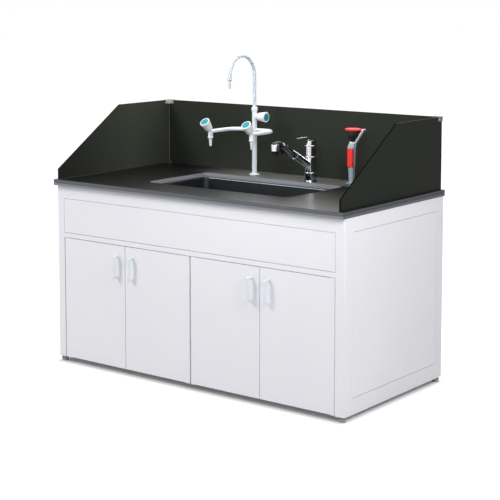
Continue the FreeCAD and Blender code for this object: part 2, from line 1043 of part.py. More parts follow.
# Splash shield
def side_shield():
    inner = shield_half - shield_thickness
    front = worktop_front + shield_front_inset
    slope_end = front + shield_slope_run
    outline = [
        Vector(inner, front, worktop_height),
        Vector(inner, shield_inner_back, worktop_height),
        Vector(inner, shield_inner_back, shield_top),
        Vector(inner, slope_end, shield_top),
        Vector(inner, front, worktop_height + shield_front_height),
    ]
    panel = extruded(outline, right * shield_thickness)
    visible = []
    for edge in panel.Edges:
        bounds = edge.BoundBox
        along_slope = bounds.XLength < edge_tolerance
        above = bounds.ZMax > worktop_height + edge_tolerance
        if along_slope and above and bounds.YMin < shield_inner_back - overrun:
            visible.append(edge)
    return panel.makeChamfer(shield_edge_bevel, visible)


def back_shield():
    panel = block(-shield_half, shield_half, shield_inner_back, shield_back, worktop_height, shield_top)
    rim = []
    for edge in panel.Edges:
        bounds = edge.BoundBox
        on_back = bounds.YLength < edge_tolerance and abs(bounds.YMin - shield_back) < edge_tolerance
        if on_back and (bounds.ZMin > worktop_height + edge_tolerance or is_upright(edge)):
            rim.append(edge)
    return panel.makeChamfer(shield_edge_bevel, rim)


def shield_clips():
    # A cap over each upper corner, and a small foot inside each lower corner
    sheet = shield_clip_sheet
    inner_x = shield_half - shield_thickness
    low = shield_top - shield_clip_height
    across = block(
        shield_half - shield_clip_leg,
        shield_half + sheet,
        shield_inner_back - sheet,
        shield_back + sheet,
        low,
        shield_top + sheet,
    )
    along = block(
        inner_x - sheet,
        shield_half + sheet,
        shield_back - shield_clip_leg,
        shield_back + sheet,
        low,
        shield_top + sheet,
    )
    cap = joined([across, along])
    cap = cap.cut(
        block(-shield_half, shield_half, shield_inner_back, shield_back, worktop_height, shield_top)
    )
    cap = cap.cut(
        block(inner_x, shield_half, worktop_front, shield_inner_back, worktop_height, shield_top)
    )
    foot = extruded(
        [
            Vector(inner_x, shield_inner_back, worktop_height),
            Vector(inner_x - shield_foot_leg, shield_inner_back, worktop_height),
            Vector(inner_x, shield_inner_back - shield_foot_leg, worktop_height),
        ],
        up * shield_foot_height,
    )
    return [cap, foot, mirrored(cap), mirrored(foot)]


# Laboratory tap



def lock_nut(place, bore):
    centre = place - up * (worktop_thickness + lock_nut_height)
    corner = bore + lock_nut_margin
    points = []
    for index in range(nut_sides):
        angle = math.radians(full_turn * index / nut_sides)
        points.append(centre + Vector(corner * math.cos(angle), corner * math.sin(angle), 0))
    nut = extruded(points, up * lock_nut_height)
    return nut.cut(rod(centre, lock_nut_height, bore + running_clearance))


def lock_nuts():
    nuts = [lock_nut(place, radius) for place, radius in deck_shanks()]
    drain = Vector(drain_x, bowl_middle, bowl_bottom - drain_nut_height)
    nuts.append(ring(drain, drain_nut_height, drain_nut_radius, drain_body_radius + running_clearance))
    return nuts


def tap_flange():
    bore = tap_column_radius + running_clearance
    profile = [
        (bore, 0),
        (tap_flange_radius, 0),
        (tap_flange_radius, tap_flange_rim),
        (tap_flange_neck, tap_flange_height),
        (bore, tap_flange_height),
    ]
    return turned(profile, tap_place)


def tap_column():
    base = tap_place
    seat = gooseneck_radius + running_clearance
    profile = [
        (tap_bore_radius, -shank_length),
        (tap_shank_radius, -shank_length),
        (tap_shank_radius, 0),
        (tap_column_radius, 0),
        (tap_column_radius, tap_column_height),
        (seat, tap_column_height),
        (seat, tap_column_height - swivel_seat_depth),
        (tap_bore_radius, tap_column_height - swivel_seat_depth),
    ]
    column = turned(profile, base)
    valve = base + up * top_valve_height
    stem = valve_stem(valve + right * tap_bore_radius, right, top_stem_length - tap_bore_radius)
    clear = rod(base - up * shank_length, shank_length + tap_column_height, tap_bore_radius)
    socket = rod(base + up * (tap_column_height - swivel_seat_depth), swivel_seat_depth, seat)
    return joined([column, stem]).cut(clear).cut(socket)


def valve_stem(start, direction, length):
    stem = rod(start, length, valve_stem_radius, direction)
    spindle = rod(start, length + spindle_length, spindle_radius, direction)
    return stem.fuse(spindle)


def swivel_nut():
    base = tap_place + up * tap_column_height
    bore = gooseneck_radius + running_clearance
    room = swivel_ring_radius + body_gap
    room_height = swivel_ring_height + 2 * body_gap
    profile = [
        (room, 0),
        (swivel_nut_radius - swivel_nut_round, 0),
        (swivel_nut_radius, swivel_nut_round),
        (swivel_nut_radius, swivel_nut_height - swivel_nut_round),
        (swivel_nut_radius - swivel_nut_round, swivel_nut_height),
        (bore, swivel_nut_height),
        (bore, room_height),
        (room, room_height),
    ]
    return turned(profile, base)


def gooseneck_corners():
    base = tap_place + up * (tap_column_height - swivel_seat_depth + body_gap)
    crown = worktop_height + tap_column_height + gooseneck_straight + gooseneck_bend
    return [
        base,
        Vector(base.x, base.y, crown),
        Vector(base.x, base.y - 2 * gooseneck_bend, crown),
        Vector(base.x, base.y - 2 * gooseneck_bend, crown - gooseneck_bend - gooseneck_drop),
    ]


def gooseneck():
    pipe = bent_pipe(gooseneck_corners(), gooseneck_bend, gooseneck_radius, gooseneck_bore)
    collar_base = tap_place + up * (tap_column_height + body_gap)
    retainer = ring(collar_base, swivel_ring_height, swivel_ring_radius, gooseneck_bore)
    return joined([pipe, retainer])


def nozzle(top):
    # A rounded collar with a barbed spigot below it, for a rubber hose
    profile = [
        (nozzle_bore, 0),
        (nozzle_collar_radius - nozzle_collar_round, 0),
        (nozzle_collar_radius, -nozzle_collar_round),
        (nozzle_collar_radius, -nozzle_collar_height + nozzle_collar_round),
        (nozzle_root_radius, -nozzle_collar_height),
    ]
    for index in range(nozzle_barb_count):
        share = (index + 1) / (nozzle_barb_count + 1)
        height = -nozzle_collar_height - nozzle_length * share
        radius = nozzle_root_radius + (nozzle_tip_radius - nozzle_root_radius) * share
        profile.append((radius, height))
        profile.append((radius + nozzle_barb, height))
    profile.append((nozzle_tip_radius, -nozzle_collar_height - nozzle_length))
    profile.append((nozzle_bore, -nozzle_collar_height - nozzle_length))
    return turned(profile, top)


def valve_place(side):
    base = tap_place
    return base + Vector(side * arm_spread, -arm_reach, arm_height)


def knob_direction():
    tilt = math.radians(knob_tilt)
    return Vector(0, -math.cos(tilt), math.sin(tilt))


def side_arm(side):
    # A swept arm from the column to a valve body with its nozzle below and its spindle above
    base = tap_place + up * arm_height
    valve = valve_place(side)
    corners = [base, Vector(valve.x, base.y, base.z), valve]
    pipe = bent_pipe(corners, arm_bend, arm_radius, arm_bore)
    pipe = pipe.cut(rod(base - up * arm_height, 2 * arm_height, tap_column_radius))
    body = rod(valve - up * valve_drop, valve_drop + valve_crown, valve_radius)
    body = body.makeFillet(valve_crown / 2, edges_at_height(body, valve.z + valve_crown))
    way = rod(valve - up * valve_drop, valve_drop, nozzle_bore)
    return joined([pipe, body, valve_stem(valve, knob_direction(), valve_stem_length)]).cut(way)


def knob(base, direction):
    # A conical knob with a recess in its face and a bore for the spindle
    bore = spindle_radius + running_clearance
    depth = spindle_length
    profile = [
        (bore, 0),
        (knob_base_radius, 0),
        (knob_shoulder_radius, knob_shoulder),
        (knob_face_radius, knob_length - knob_face_round),
        (knob_face_radius - knob_face_round, knob_length),
        (knob_cap_radius + running_clearance, knob_length),
        (knob_cap_radius + running_clearance, knob_length - knob_recess),
        (0, knob_length - knob_recess),
        (0, depth),
        (bore, depth),
    ]
    return turned(profile, base, direction)


def knob_cap(base, direction):
    profile = [
        (0, 0),
        (knob_cap_radius, 0),
        (knob_cap_radius, knob_cap_thickness / 2),
        (knob_cap_radius - knob_cap_thickness / 2, knob_cap_thickness),
        (0, knob_cap_thickness),
    ]
    return turned(profile, base + direction * (knob_length - knob_recess), direction)


def knob_places():
    tilted = knob_direction()
    top = tap_place + up * top_valve_height
    start = valve_stem_length + body_gap
    return [
        ("left", valve_place(-1) + tilted * start, tilted),
        ("right", valve_place(1) + tilted * start, tilted),
        ("top", top + right * (top_stem_length + body_gap), right),
    ]


# Pull-out mixer
def mixer_direction():
    turn = math.radians(mixer_turn)
    return Vector(-math.sin(turn), -math.cos(turn), 0)


def mixer_side():
    return up.cross(mixer_direction())


def spout_direction():
    tilt = math.radians(spout_tilt)
    return mixer_direction() * math.cos(tilt) + up * math.sin(tilt)


def sleeve_bottom():
    return mixer_base_height + mixer_ring_height + body_gap


def body_bottom():
    return sleeve_bottom() + mixer_sleeve_height + body_gap


def hub_bottom():
    return body_bottom() + mixer_body_height + body_gap


def mixer_base():
    bore = mixer_core_radius + running_clearance
    profile = [
        (bore, 0),
        (mixer_base_flare, 0),
        (mixer_base_flare, mixer_ring_height / 2),
        (mixer_base_radius, mixer_flare_height),
        (mixer_base_radius, mixer_base_height),
        (mixer_ring_radius, mixer_base_height),
        (mixer_ring_radius, mixer_base_height + mixer_ring_height),
        (bore, mixer_base_height + mixer_ring_height),
    ]
    return turned(profile, mixer_place)


def mixer_body():
    # The core stands in the base and the swivelling sleeve; rings mark the joints
    low = body_bottom()
    high = low + mixer_body_height
    profile = [
        (mixer_bore_radius, -shank_length),
        (mixer_shank_radius, -shank_length),
        (mixer_shank_radius, 0),
        (mixer_core_radius, 0),
        (mixer_core_radius, low),
        (mixer_ring_radius, low),
        (mixer_ring_radius, low + mixer_ring_height),
        (mixer_body_radius, low + mixer_ring_height),
        (mixer_body_radius, high - mixer_ring_height),
        (mixer_ring_radius, high - mixer_ring_height),
        (mixer_ring_radius, high),
        (hub_stud_radius, high),
        (hub_stud_radius, high + hub_stud_height),
        (0, high + hub_stud_height),
        (0, high - mixer_ring_height),
        (mixer_bore_radius, high - mixer_ring_height),
    ]
    return turned(profile, mixer_place)


def spout_root():
    return mixer_place + up * (sleeve_bottom() + spout_root_rise)


def mixer_spout():
    # A sleeve that swivels round the core, with the tube that the spray docks into
    low = mixer_place + up * sleeve_bottom()
    direction = spout_direction()
    sleeve = rod(low, mixer_sleeve_height, mixer_body_radius)
    tube = rod(spout_root(), spout_length, spout_radius, direction)
    mouth = spout_root() + direction * (spout_length - spout_bore_depth)
    channel = rod(mouth, spout_bore_depth + overrun, spout_bore_radius, direction)
    core = rod(low - up * overrun, mixer_sleeve_height + 2 * overrun, mixer_core_radius + running_clearance)
    return joined([sleeve, tube]).cut(channel).cut(core)


def spray_head():
    # The wand docks in the spout by a spigot and ends in a spray head that faces down
    direction = spout_direction()
    seam = spout_root() + direction * (spout_length + wand_gap)
    spigot_radius = spout_bore_radius - running_clearance
    spigot = rod(seam - direction * spigot_length, spigot_length + wand_ring, spigot_radius, direction)
    collar = rod(seam, wand_ring, spout_radius + wand_ring_proud, direction)
    wand = Part.makeCone(spout_radius, wand_end_radius, wand_length, seam, direction)
    tip = seam + direction * wand_length
    crown = mixer_place + mixer_direction() * spray_reach + up * spray_crown
    bend = crown - tip
    elbow = rod(tip, bend.Length, wand_end_radius, bend)
    elbow_end = Part.makeSphere(wand_end_radius, tip)
    dome = Part.makeSphere(spray_radius, crown)
    head = rod(crown - up * spray_height, spray_height, spray_radius)
    foot_low = crown - up * (spray_height + spray_foot)
    foot = Part.makeCone(spray_foot_radius, spray_radius, spray_foot, foot_low, up)
    below = mixer_side().cross(direction)
    stud = Part.makeSphere(wand_stud_radius, seam + direction * 2 * wand_ring + below * spout_radius)
    toggle = rod(tip - direction * toggle_back, toggle_length, toggle_radius, below)
    return joined([spigot, collar, wand, elbow_end, elbow, dome, head, foot, stud, toggle])


def in_mixer_plane(forward, across, height):
    # A point given ahead of the hub, across it and up from its base
    base = mixer_place + up * hub_bottom()
    return base + mixer_direction() * forward + mixer_side() * across + up * height


def lever_pin(length):
    # A bar along the lever's pivot, centred on the hub's middle plane
    centre = in_mixer_plane(lever_pin_forward, -length / 2, hub_height - lever_pin_drop)
    return centre, mixer_side()


def mixer_hub():
    # The turning hub, slotted for the lever and carrying its pin
    bore = hub_stud_radius + running_clearance
    profile = [
        (bore, 0),
        (hub_radius, 0),
        (hub_radius, hub_height - hub_round),
        (hub_radius - hub_round, hub_height),
        (0, hub_height),
        (0, hub_stud_height + body_gap),
        (bore, hub_stud_height + body_gap),
    ]
    hub = turned(profile, mixer_place + up * hub_bottom())
    half = lever_tongue / 2 + lever_slot_clearance
    outline = [
        in_mixer_plane(-lever_slot_back, -half, lever_slot_floor),
        in_mixer_plane(hub_radius + overrun, -half, lever_slot_floor),
        in_mixer_plane(hub_radius + overrun, -half, hub_height + overrun),
        in_mixer_plane(-lever_slot_back, -half, hub_height + overrun),
    ]
    slot = extruded(outline, mixer_side() * 2 * half)
    start, side = lever_pin(lever_pin_length)
    return joined([hub.cut(slot), rod(start, lever_pin_length, lever_pin_radius, side)])


def mixer_lever():
    # A thin blade over the hub on a tongue that turns about the pin
    half = lever_tongue / 2
    rear = lever_pin_forward - lever_tongue_reach
    front = lever_pin_forward + lever_tongue_reach
    blade_low = hub_height + lever_lift
    tongue_low = hub_height - lever_tongue_drop
    tongue_outline = [
        in_mixer_plane(rear, -half, blade_low + lever_thickness / 2),
        in_mixer_plane(rear, -half, hub_height - lever_pin_drop),
        in_mixer_plane(lever_pin_forward, -half, tongue_low),
        in_mixer_plane(front, -half, hub_height - lever_pin_drop),
        in_mixer_plane(front, -half, blade_low + lever_thickness / 2),
    ]
    tongue = extruded(tongue_outline, mixer_side() * lever_tongue)
    wide = lever_width / 2
    blade_outline = [
        in_mixer_plane(rear, -wide, blade_low),
        in_mixer_plane(hub_radius, -wide, blade_low),
        in_mixer_plane(lever_length, -wide, blade_low + lever_rise),
        in_mixer_plane(lever_length, -wide, blade_low + lever_rise + lever_thickness / 2),
        in_mixer_plane(hub_radius, -wide, blade_low + lever_thickness),
        in_mixer_plane(rear, -wide, blade_low + lever_thickness),
    ]
    blade = extruded(blade_outline, mixer_side() * lever_width)
    ends = []
    for forward in (rear + wide, lever_length - wide):
        ends.append(rod(in_mixer_plane(forward, 0, 0), 2 * hub_height, wide))
    middle = [
        in_mixer_plane(rear + wide, -wide, 0),
        in_mixer_plane(lever_length - wide, -wide, 0),
        in_mixer_plane(lever_length - wide, wide, 0),
        in_mixer_plane(rear + wide, wide, 0),
    ]
    keep = joined(ends + [extruded(middle, up * 2 * hub_height)])
    start, side = lever_pin(2 * lever_width)
    bore = rod(start, 2 * lever_width, lever_pin_radius + running_clearance, side)
    return joined([blade.common(keep), tongue]).cut(bore)


# Eyewash
def eyewash_holder():
    # A funnel on a short foot; the hand piece stands in it with its tail through the shank
    bore = hose_tail_radius + running_clearance
    cup_floor = holder_height - holder_cup_depth
    profile = [
        (bore, -shank_length),
        (holder_shank_radius, -shank_length),
        (holder_shank_radius, 0),
        (holder_foot_radius, 0),
        (holder_foot_radius, holder_foot_height),
        (holder_top_radius, holder_height - holder_rim_height),
        (holder_top_radius, holder_height),
        (holder_cup_radius, holder_height),
        (holder_cup_floor_radius, cup_floor),
        (bore, cup_floor),
    ]
    return turned(profile, eyewash_place)


def eyewash_base():
    # Where the hand piece stands, on the floor of the holder's cup
    return eyewash_place + up * (holder_height - holder_cup_depth + body_gap)


def grip_section(width, depth, shift, height):
    # A level outline with small front corners and large back corners
    base = eyewash_base() + Vector(0, shift, height)
    front_round = eyewash_front_round
    back_round = eyewash_back_round
    corners = [(1, 1, back_round), (-1, 1, back_round), (-1, -1, front_round), (1, -1, front_round)]
    arcs = []
    for index in range(len(corners)):
        side, end, radius = corners[index]
        middle = base + Vector(side * (width / 2 - radius), end * (depth / 2 - radius), 0)
        points = []
        for share in (0, 1 / 2, 1):
            angle = math.radians(quarter_turn * (index + share))
            points.append(middle + Vector(radius * math.cos(angle), radius * math.sin(angle), 0))
        arcs.append(points)
    edges = []
    for index in range(len(arcs)):
        points = arcs[index]
        following = arcs[(index + 1) % len(arcs)]
        edges.append(Part.Arc(points[0], points[1], points[2]).toShape())
        edges.append(Part.LineSegment(points[2], following[0]).toShape())
    return Part.Wire(edges)


def neck_centre():
    # Bottom of the neck, at the top of the shoulder
    height = eyewash_body_height + eyewash_shoulder
    return eyewash_base() + Vector(0, neck_setback, height)


def grip_front():
    # The front face of the hand piece at its widest
    back_face = eyewash_foot_depth / 2
    return eyewash_base().y + back_face - eyewash_body_depth


def squeeze_pin_place():
    base = eyewash_base()
    middle = grip_front() - squeeze_proud + squeeze_thickness / 2
    height = eyewash_body_height - squeeze_drop - squeeze_pin_drop
    return Vector(base.x, middle, base.z + height)


def eyewash_body():
    # A grip that widens upwards, recessed in front for the squeeze lever
    widest_shift = (eyewash_foot_depth - eyewash_body_depth) / 2
    foot = grip_section(eyewash_foot_width, eyewash_foot_depth, 0, 0)
    widest = grip_section(eyewash_width, eyewash_body_depth, widest_shift, eyewash_body_height)
    shoulder_height = eyewash_body_height + eyewash_shoulder
    top = grip_section(neck_top_width, neck_top_depth, neck_setback, shoulder_height)
    lower = Part.makeLoft([foot, widest], True, True)
    upper = Part.makeLoft([widest, top], True, True)
    neck = rod(neck_centre(), neck_height, neck_radius)
    tail = rod(eyewash_base() - up * hose_tail_length, hose_tail_length + overrun, hose_tail_radius)
    pin = squeeze_pin_place()
    room = squeeze_room
    floor = pin.y + squeeze_thickness / 2 + squeeze_back_gap
    top_end = pin.z + squeeze_pin_drop
    recess = block(
        pin.x - eyewash_width,
        pin.x + eyewash_width,
        grip_front() - overrun,
        floor,
        top_end - squeeze_length - room,
        top_end + room,
    )
    lug = block(
        pin.x - squeeze_lug_width / 2,
        pin.x + squeeze_lug_width / 2,
        pin.y - squeeze_pin_radius,
        floor + overrun,
        pin.z - squeeze_pin_radius,
        pin.z + squeeze_pin_radius,
    )
    shaft = rod(pin - right * squeeze_pin_reach, 2 * squeeze_pin_reach, squeeze_pin_radius, right)
    whole = joined([lower, upper, neck, tail]).cut(recess)
    return joined([whole, lug, shaft])


def squeeze_lever():
    # The long key on the front of the grip, slotted round the lug that holds its pin
    pin = squeeze_pin_place()
    high = pin.z + squeeze_pin_drop
    front = pin.y - squeeze_thickness / 2
    lever = block(
        pin.x - squeeze_width / 2,
        pin.x + squeeze_width / 2,
        front,
        pin.y + squeeze_thickness / 2,
        high - squeeze_length,
        high,
    )
    rounded = [edge for edge in lever.Edges if abs(edge.BoundBox.YMax - front) < edge_tolerance]
    lever = lever.makeFillet(squeeze_round, rounded)
    half = squeeze_lug_width / 2 + body_gap
    room = squeeze_pin_radius + body_gap
    slot = block(
        pin.x - half,
        pin.x + half,
        pin.y - room,
        pin.y + squeeze_thickness,
        pin.z - squeeze_pin_drop,
        high + overrun,
    )
    reach = squeeze_pin_reach + body_gap
    bore = rod(pin - right * reach, 2 * reach, squeeze_pin_radius + running_clearance, right)
    return lever.cut(slot).cut(bore)


def spray_cup():
    # A rubber cup that stands round the neck and shields the face
    low = cup_hub_height
    middle = low + cup_height * cup_middle_share
    high = low + cup_height
    profile = [
        (neck_radius, 0),
        (cup_hub_radius, 0),
        (cup_base_radius, low),
        (cup_middle_radius, middle),
        (cup_rim_radius, high),
        (cup_rim_radius - cup_wall, high),
        (cup_middle_radius - cup_wall, middle),
        (cup_base_radius - cup_wall / 2, low + cup_wall),
        (neck_radius, low + cup_wall),
    ]
    return turned(profile, neck_centre() + up * cup_lift)


def spray_rose():
    base = neck_centre() + up * neck_height
    rose = joined(
        [rod(base, rose_rise, rose_stem_radius), rod(base + up * rose_rise, rose_thickness, rose_radius)]
    )
    for index in range(rose_hole_count):
        angle = math.radians(full_turn * index / rose_hole_count)
        reach = rose_radius * rose_ring_share
        place = base + Vector(reach * math.cos(angle), reach * math.sin(angle), rose_rise - overrun)
        rose = rose.cut(rod(place, rose_thickness + 2 * overrun, rose_hole_radius))
    return rose


def cup_rim():
    return neck_centre() + up * (cup_lift + cup_hub_height + cup_height)


def cap_hinge():
    return cup_rim() + Vector(cap_hinge_reach, 0, body_gap + cap_lug_thickness / 2)


def hinge_bar(radius, width):
    return rod(cap_hinge() - back * width / 2, width, radius, back)


def dust_cap():
    # A flat lid with a short skirt round the cup's rim and a lug to its hinge
    room = cup_rim_radius + cap_rim_clearance
    profile = [
        (room, -cap_skirt),
        (cap_radius, -cap_skirt),
        (cap_radius, body_gap + cap_top - cap_edge_round),
        (cap_radius - cap_edge_round, body_gap + cap_top),
        (0, body_gap + cap_top),
        (0, body_gap),
        (room, body_gap),
    ]
    rim = cup_rim()
    hinge = cap_hinge()
    lug = block(
        rim.x + room,
        hinge.x,
        hinge.y - cap_lug_width / 2,
        hinge.y + cap_lug_width / 2,
        hinge.z - cap_lug_thickness / 2,
        hinge.z + cap_lug_thickness / 2,
    )
    whole = joined([turned(profile, rim), lug, hinge_bar(cap_eye_radius, cap_lug_width)])
    return whole.cut(hinge_bar(cap_pin_radius + running_clearance, 2 * cap_lug_width))


def cap_ring():
    # A ring round the neck with an arm that rises beside the cup to the cap's hinge pin
    base = neck_centre() + up * body_gap
    collar = ring(base, cap_ring_height, neck_radius + cap_ring_wall, neck_radius)
    hinge = cap_hinge()
    start = base + right * cap_arm_foot + up * cap_arm_thickness / 2
    slope = (hinge - start).normalize()
    thick = slope.cross(back) * cap_arm_thickness / 2
    end = hinge + slope * cap_arm_tip
    side = back * cap_arm_width / 2
    outline = [start - thick - side, end - thick - side, end + thick - side, start + thick - side]
    arm = extruded(outline, back * cap_arm_width)
    gap = cap_lug_width / 2 + body_gap
    clear = cap_eye_radius + body_gap
    notch = block(
        hinge.x - cap_stop_length,
        hinge.x + cap_stop_length,
        hinge.y - gap,
        hinge.y + gap,
        hinge.z - cap_stop_length,
        hinge.z + cap_stop_length,
    )
    cheeks = hinge_bar(clear, cap_arm_width)
    whole = joined([collar, arm, cheeks]).cut(notch)
    return joined([whole, hinge_bar(cap_pin_radius, cap_arm_width)])


def build():
    os.makedirs("parts", exist_ok=True)
    right_frame = end_frame()
    save("end_frame_right", right_frame)
    save("end_frame_left", mirrored(right_frame))
    save("cross_rails", *cross_rails())
    panel = side_panel()
    save("side_panel_right", panel)
    save("side_panel_left", mirrored(panel))
    save("apron_panel", apron_panel())
    save("bottom_panel", floor_board())
    save("back_panel", back_panel())
    save("centre_partition", centre_partition())
    for name, hinge_edge, free_edge in door_spans():
        save("door_" + name, door(hinge_edge, free_edge))
        save("handle_" + name, handle(hinge_edge, free_edge))
    save("door_pivots", *door_pivots())
    save("door_catches", *door_catches())
    for name, place in zip(("front_left", "back_left", "front_right", "back_right"), foot_places()):
        save("foot_" + name, levelling_foot(place))
    save("worktop", worktop())
    save("sink_bowl", sink_bowl())
    save("bowl_clips", *bowl_clips())
    save("drain_flange", drain_flange())
    save("strainer_basket", strainer_basket())
    save("drain_trap", drain_trap())
    shield = side_shield()
    save("shield_right", shield)
    save("shield_left", mirrored(shield))
    save("shield_back", back_shield())
    save("shield_clips", *shield_clips())
    save("lock_nuts", *lock_nuts())
    save("tap_flange", tap_flange())
    save("tap_column", tap_column())
    save("swivel_nut", swivel_nut())
    save("gooseneck", gooseneck())
    save("gooseneck_nozzle", nozzle(gooseneck_corners()[-1]))
    save("side_arms", side_arm(-1), side_arm(1))
    save("side_nozzles", *[nozzle(valve_place(side) - up * valve_drop) for side in (-1, 1)])
    for name, base, direction in knob_places():
        save("knob_" + name, knob(base, direction))
        save("knob_cap_" + name, knob_cap(base, direction))
    save("mixer_base", mixer_base())
    save("mixer_body", mixer_body())
    save("mixer_spout", mixer_spout())
    save("spray_head", spray_head())
    save("mixer_hub", mixer_hub())
    save("mixer_lever", mixer_lever())
    save("eyewash_holder", eyewash_holder())
    save("eyewash_body", eyewash_body())
    save("squeeze_lever", squeeze_lever())
    save("spray_cup", spray_cup())
    save("spray_rose", spray_rose())
    save("dust_cap", dust_cap())
    save("cap_ring", cap_ring())


build()
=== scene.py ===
import json
import math

import bmesh
import bpy
from mathutils import Matrix, Vector


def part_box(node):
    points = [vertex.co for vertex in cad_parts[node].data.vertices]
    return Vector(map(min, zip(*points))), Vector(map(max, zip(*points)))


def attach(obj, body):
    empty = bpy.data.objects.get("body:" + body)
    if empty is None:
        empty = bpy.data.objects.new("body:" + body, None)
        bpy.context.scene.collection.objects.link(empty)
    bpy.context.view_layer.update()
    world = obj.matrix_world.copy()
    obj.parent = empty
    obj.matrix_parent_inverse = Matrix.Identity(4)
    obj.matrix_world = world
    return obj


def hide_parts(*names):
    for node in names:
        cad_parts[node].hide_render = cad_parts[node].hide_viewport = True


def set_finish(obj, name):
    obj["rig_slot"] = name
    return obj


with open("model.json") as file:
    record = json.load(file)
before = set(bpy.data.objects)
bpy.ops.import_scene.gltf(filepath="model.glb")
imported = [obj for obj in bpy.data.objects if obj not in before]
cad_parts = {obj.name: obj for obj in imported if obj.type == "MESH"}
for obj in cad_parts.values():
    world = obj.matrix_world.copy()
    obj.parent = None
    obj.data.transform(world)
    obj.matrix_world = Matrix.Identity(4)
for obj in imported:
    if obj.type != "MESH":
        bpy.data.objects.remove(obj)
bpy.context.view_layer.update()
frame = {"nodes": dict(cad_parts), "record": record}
nodes = frame["nodes"]
bpy.ops.object.select_all(action="DESELECT")
print("frame loaded:", len(nodes), "nodes")

# Camera
cameraSetup = {
    "place": (3.5537, -4.5887, 1.619),
    "turn": 37.489,
    "tilt": -5.82,
    "lens": 100.457,
    "shiftY": -0.2392,
    "farthest": 200,
}


def addCamera(setup):
    tilt = math.radians(90 + setup["tilt"])
    turn = math.radians(setup["turn"])
    bpy.ops.object.camera_add(location=setup["place"], rotation=(tilt, 0, turn))
    camera = bpy.context.active_object
    camera.data.lens = setup["lens"]
    camera.data.shift_y = setup["shiftY"]
    camera.data.clip_end = setup["farthest"]
    bpy.context.scene.camera = camera


addCamera(cameraSetup)

# Steps that every node tree shares
def addNode(tree, kind, **values):
    node = tree.nodes.new(kind)
    for key, value in values.items():
        setattr(node, key, value)
    return node


def feed(tree, socket, source):
    # a socket takes another node's output, or a plain value
    if isinstance(source, bpy.types.NodeSocket):
        tree.links.new(source, socket)
    else:
        socket.default_value = source


def placeOf(tree):
    return addNode(tree, "ShaderNodeTexCoord").outputs["Object"]


def facingOf(tree):
    return addNode(tree, "ShaderNodeNewGeometry").outputs["Normal"]


def axesOf(tree, vector):
    node = addNode(tree, "ShaderNodeSeparateXYZ")
    feed(tree, node.inputs[0], vector)
    return node.outputs


def mathNode(tree, operation, *sources):
    node = addNode(tree, "ShaderNodeMath", operation=operation)
    for socket, source in zip(node.inputs, sources):
        feed(tree, socket, source)
    return node.outputs[0]


def vectorNode(tree, operation, vector, second=None):
    node = addNode(tree, "ShaderNodeVectorMath", operation=operation)
    feed(tree, node.inputs[0], vector)
    if second is not None:
        feed(tree, node.inputs["Scale" if operation == "SCALE" else 1], second)
    return node.outputs["Value" if operation in ("DOT_PRODUCT", "DISTANCE") else "Vector"]


def rampNode(tree, value, span, ends=(0, 1), shape="LINEAR"):
    # the result runs through ends while the value runs through span
    node = addNode(tree, "ShaderNodeMapRange", interpolation_type=shape)
    for socket, source in zip(node.inputs, (value, *span, *ends)):
        feed(tree, socket, source)
    return node.outputs["Result"]


def mixNode(tree, factor, low, high, kind="RGBA", blend="MIX"):
    # a mix node has its sockets for every kind: the places are those of this kind
    node = addNode(tree, "ShaderNodeMix", data_type=kind, blend_type=blend)
    first, result = (6, 2) if kind == "RGBA" else (2, 0)
    for index, source in ((0, factor), (first, low), (first + 1, high)):
        feed(tree, node.inputs[index], source)
    return node.outputs[result]


def noiseNode(tree, place, scale, detail):
    node = addNode(tree, "ShaderNodeTexNoise")
    for key, source in (("Vector", place), ("Scale", scale), ("Detail", detail)):
        feed(tree, node.inputs[key], source)
    return node.outputs["Fac"]


def bumpNode(tree, height, depth):
    node = addNode(tree, "ShaderNodeBump")
    feed(tree, node.inputs["Height"], height)
    feed(tree, node.inputs["Distance"], depth)
    return node.outputs["Normal"]


def newMaterial(name, fixed):
    material = bpy.data.materials.new(name)
    material.use_nodes = True
    shader = material.node_tree.nodes["Principled BSDF"]
    for key, value in fixed.items():
        shader.inputs[key].default_value = value
    return material, material.node_tree, shader


def dressShader(tree, shader, **sources):
    names = {"colour": "Base Color", "roughness": "Roughness", "normal": "Normal"}
    for key, source in sources.items():
        tree.links.new(source, shader.inputs[names[key]])


# Studio
studio = {
    "skyForObject": (0.94, 0.96, 1.0),
    "skyStrength": 0.33,
    "floorSize": 60.0,
    "floorDiffuse": (0.66, 0.65, 0.65),
    "floorRough": 0.9,
    # painted shadow: the floor's own light runs from the first value under the table to the second around
    # it
    "floorLights": (0.07, 0.86),
    "footprint": (0.745, 0.372),
    "underTableShadowFade": (-0.03, 0.045),
    # each lamp's name, place, target, size in metres, power in watts, colour and spread in degrees
    "lamps": [
        ("keyLamp", (-2.8, -3.6, 4.2), (-0.3, -0.2, 0.85), 2.2, 180, (1.0, 1.0, 1.0), 180),
        ("cornerLamp", (2.6, -1.05, 2.1), (0.5, -1.25, 0.75), 1.0, 44, (1.0, 0.99, 0.99), 180),
        ("topLamp", (0.2, 0.8, 4.2), (0.0, 0.1, 0.8), 2.2, 46, (1.0, 1.0, 1.0), 180),
        ("tapLamp", (1.5, -2.4, 1.9), (0.1, 0.3, 1.14), 0.6, 1.4, (1.0, 1.0, 1.0), 40),
        ("backLamp", (-0.3, 0.85, 1.5), (0.5, -0.3, 0.8), 0.7, 5.4, (1.0, 0.97, 0.95), 180),
    ],
}


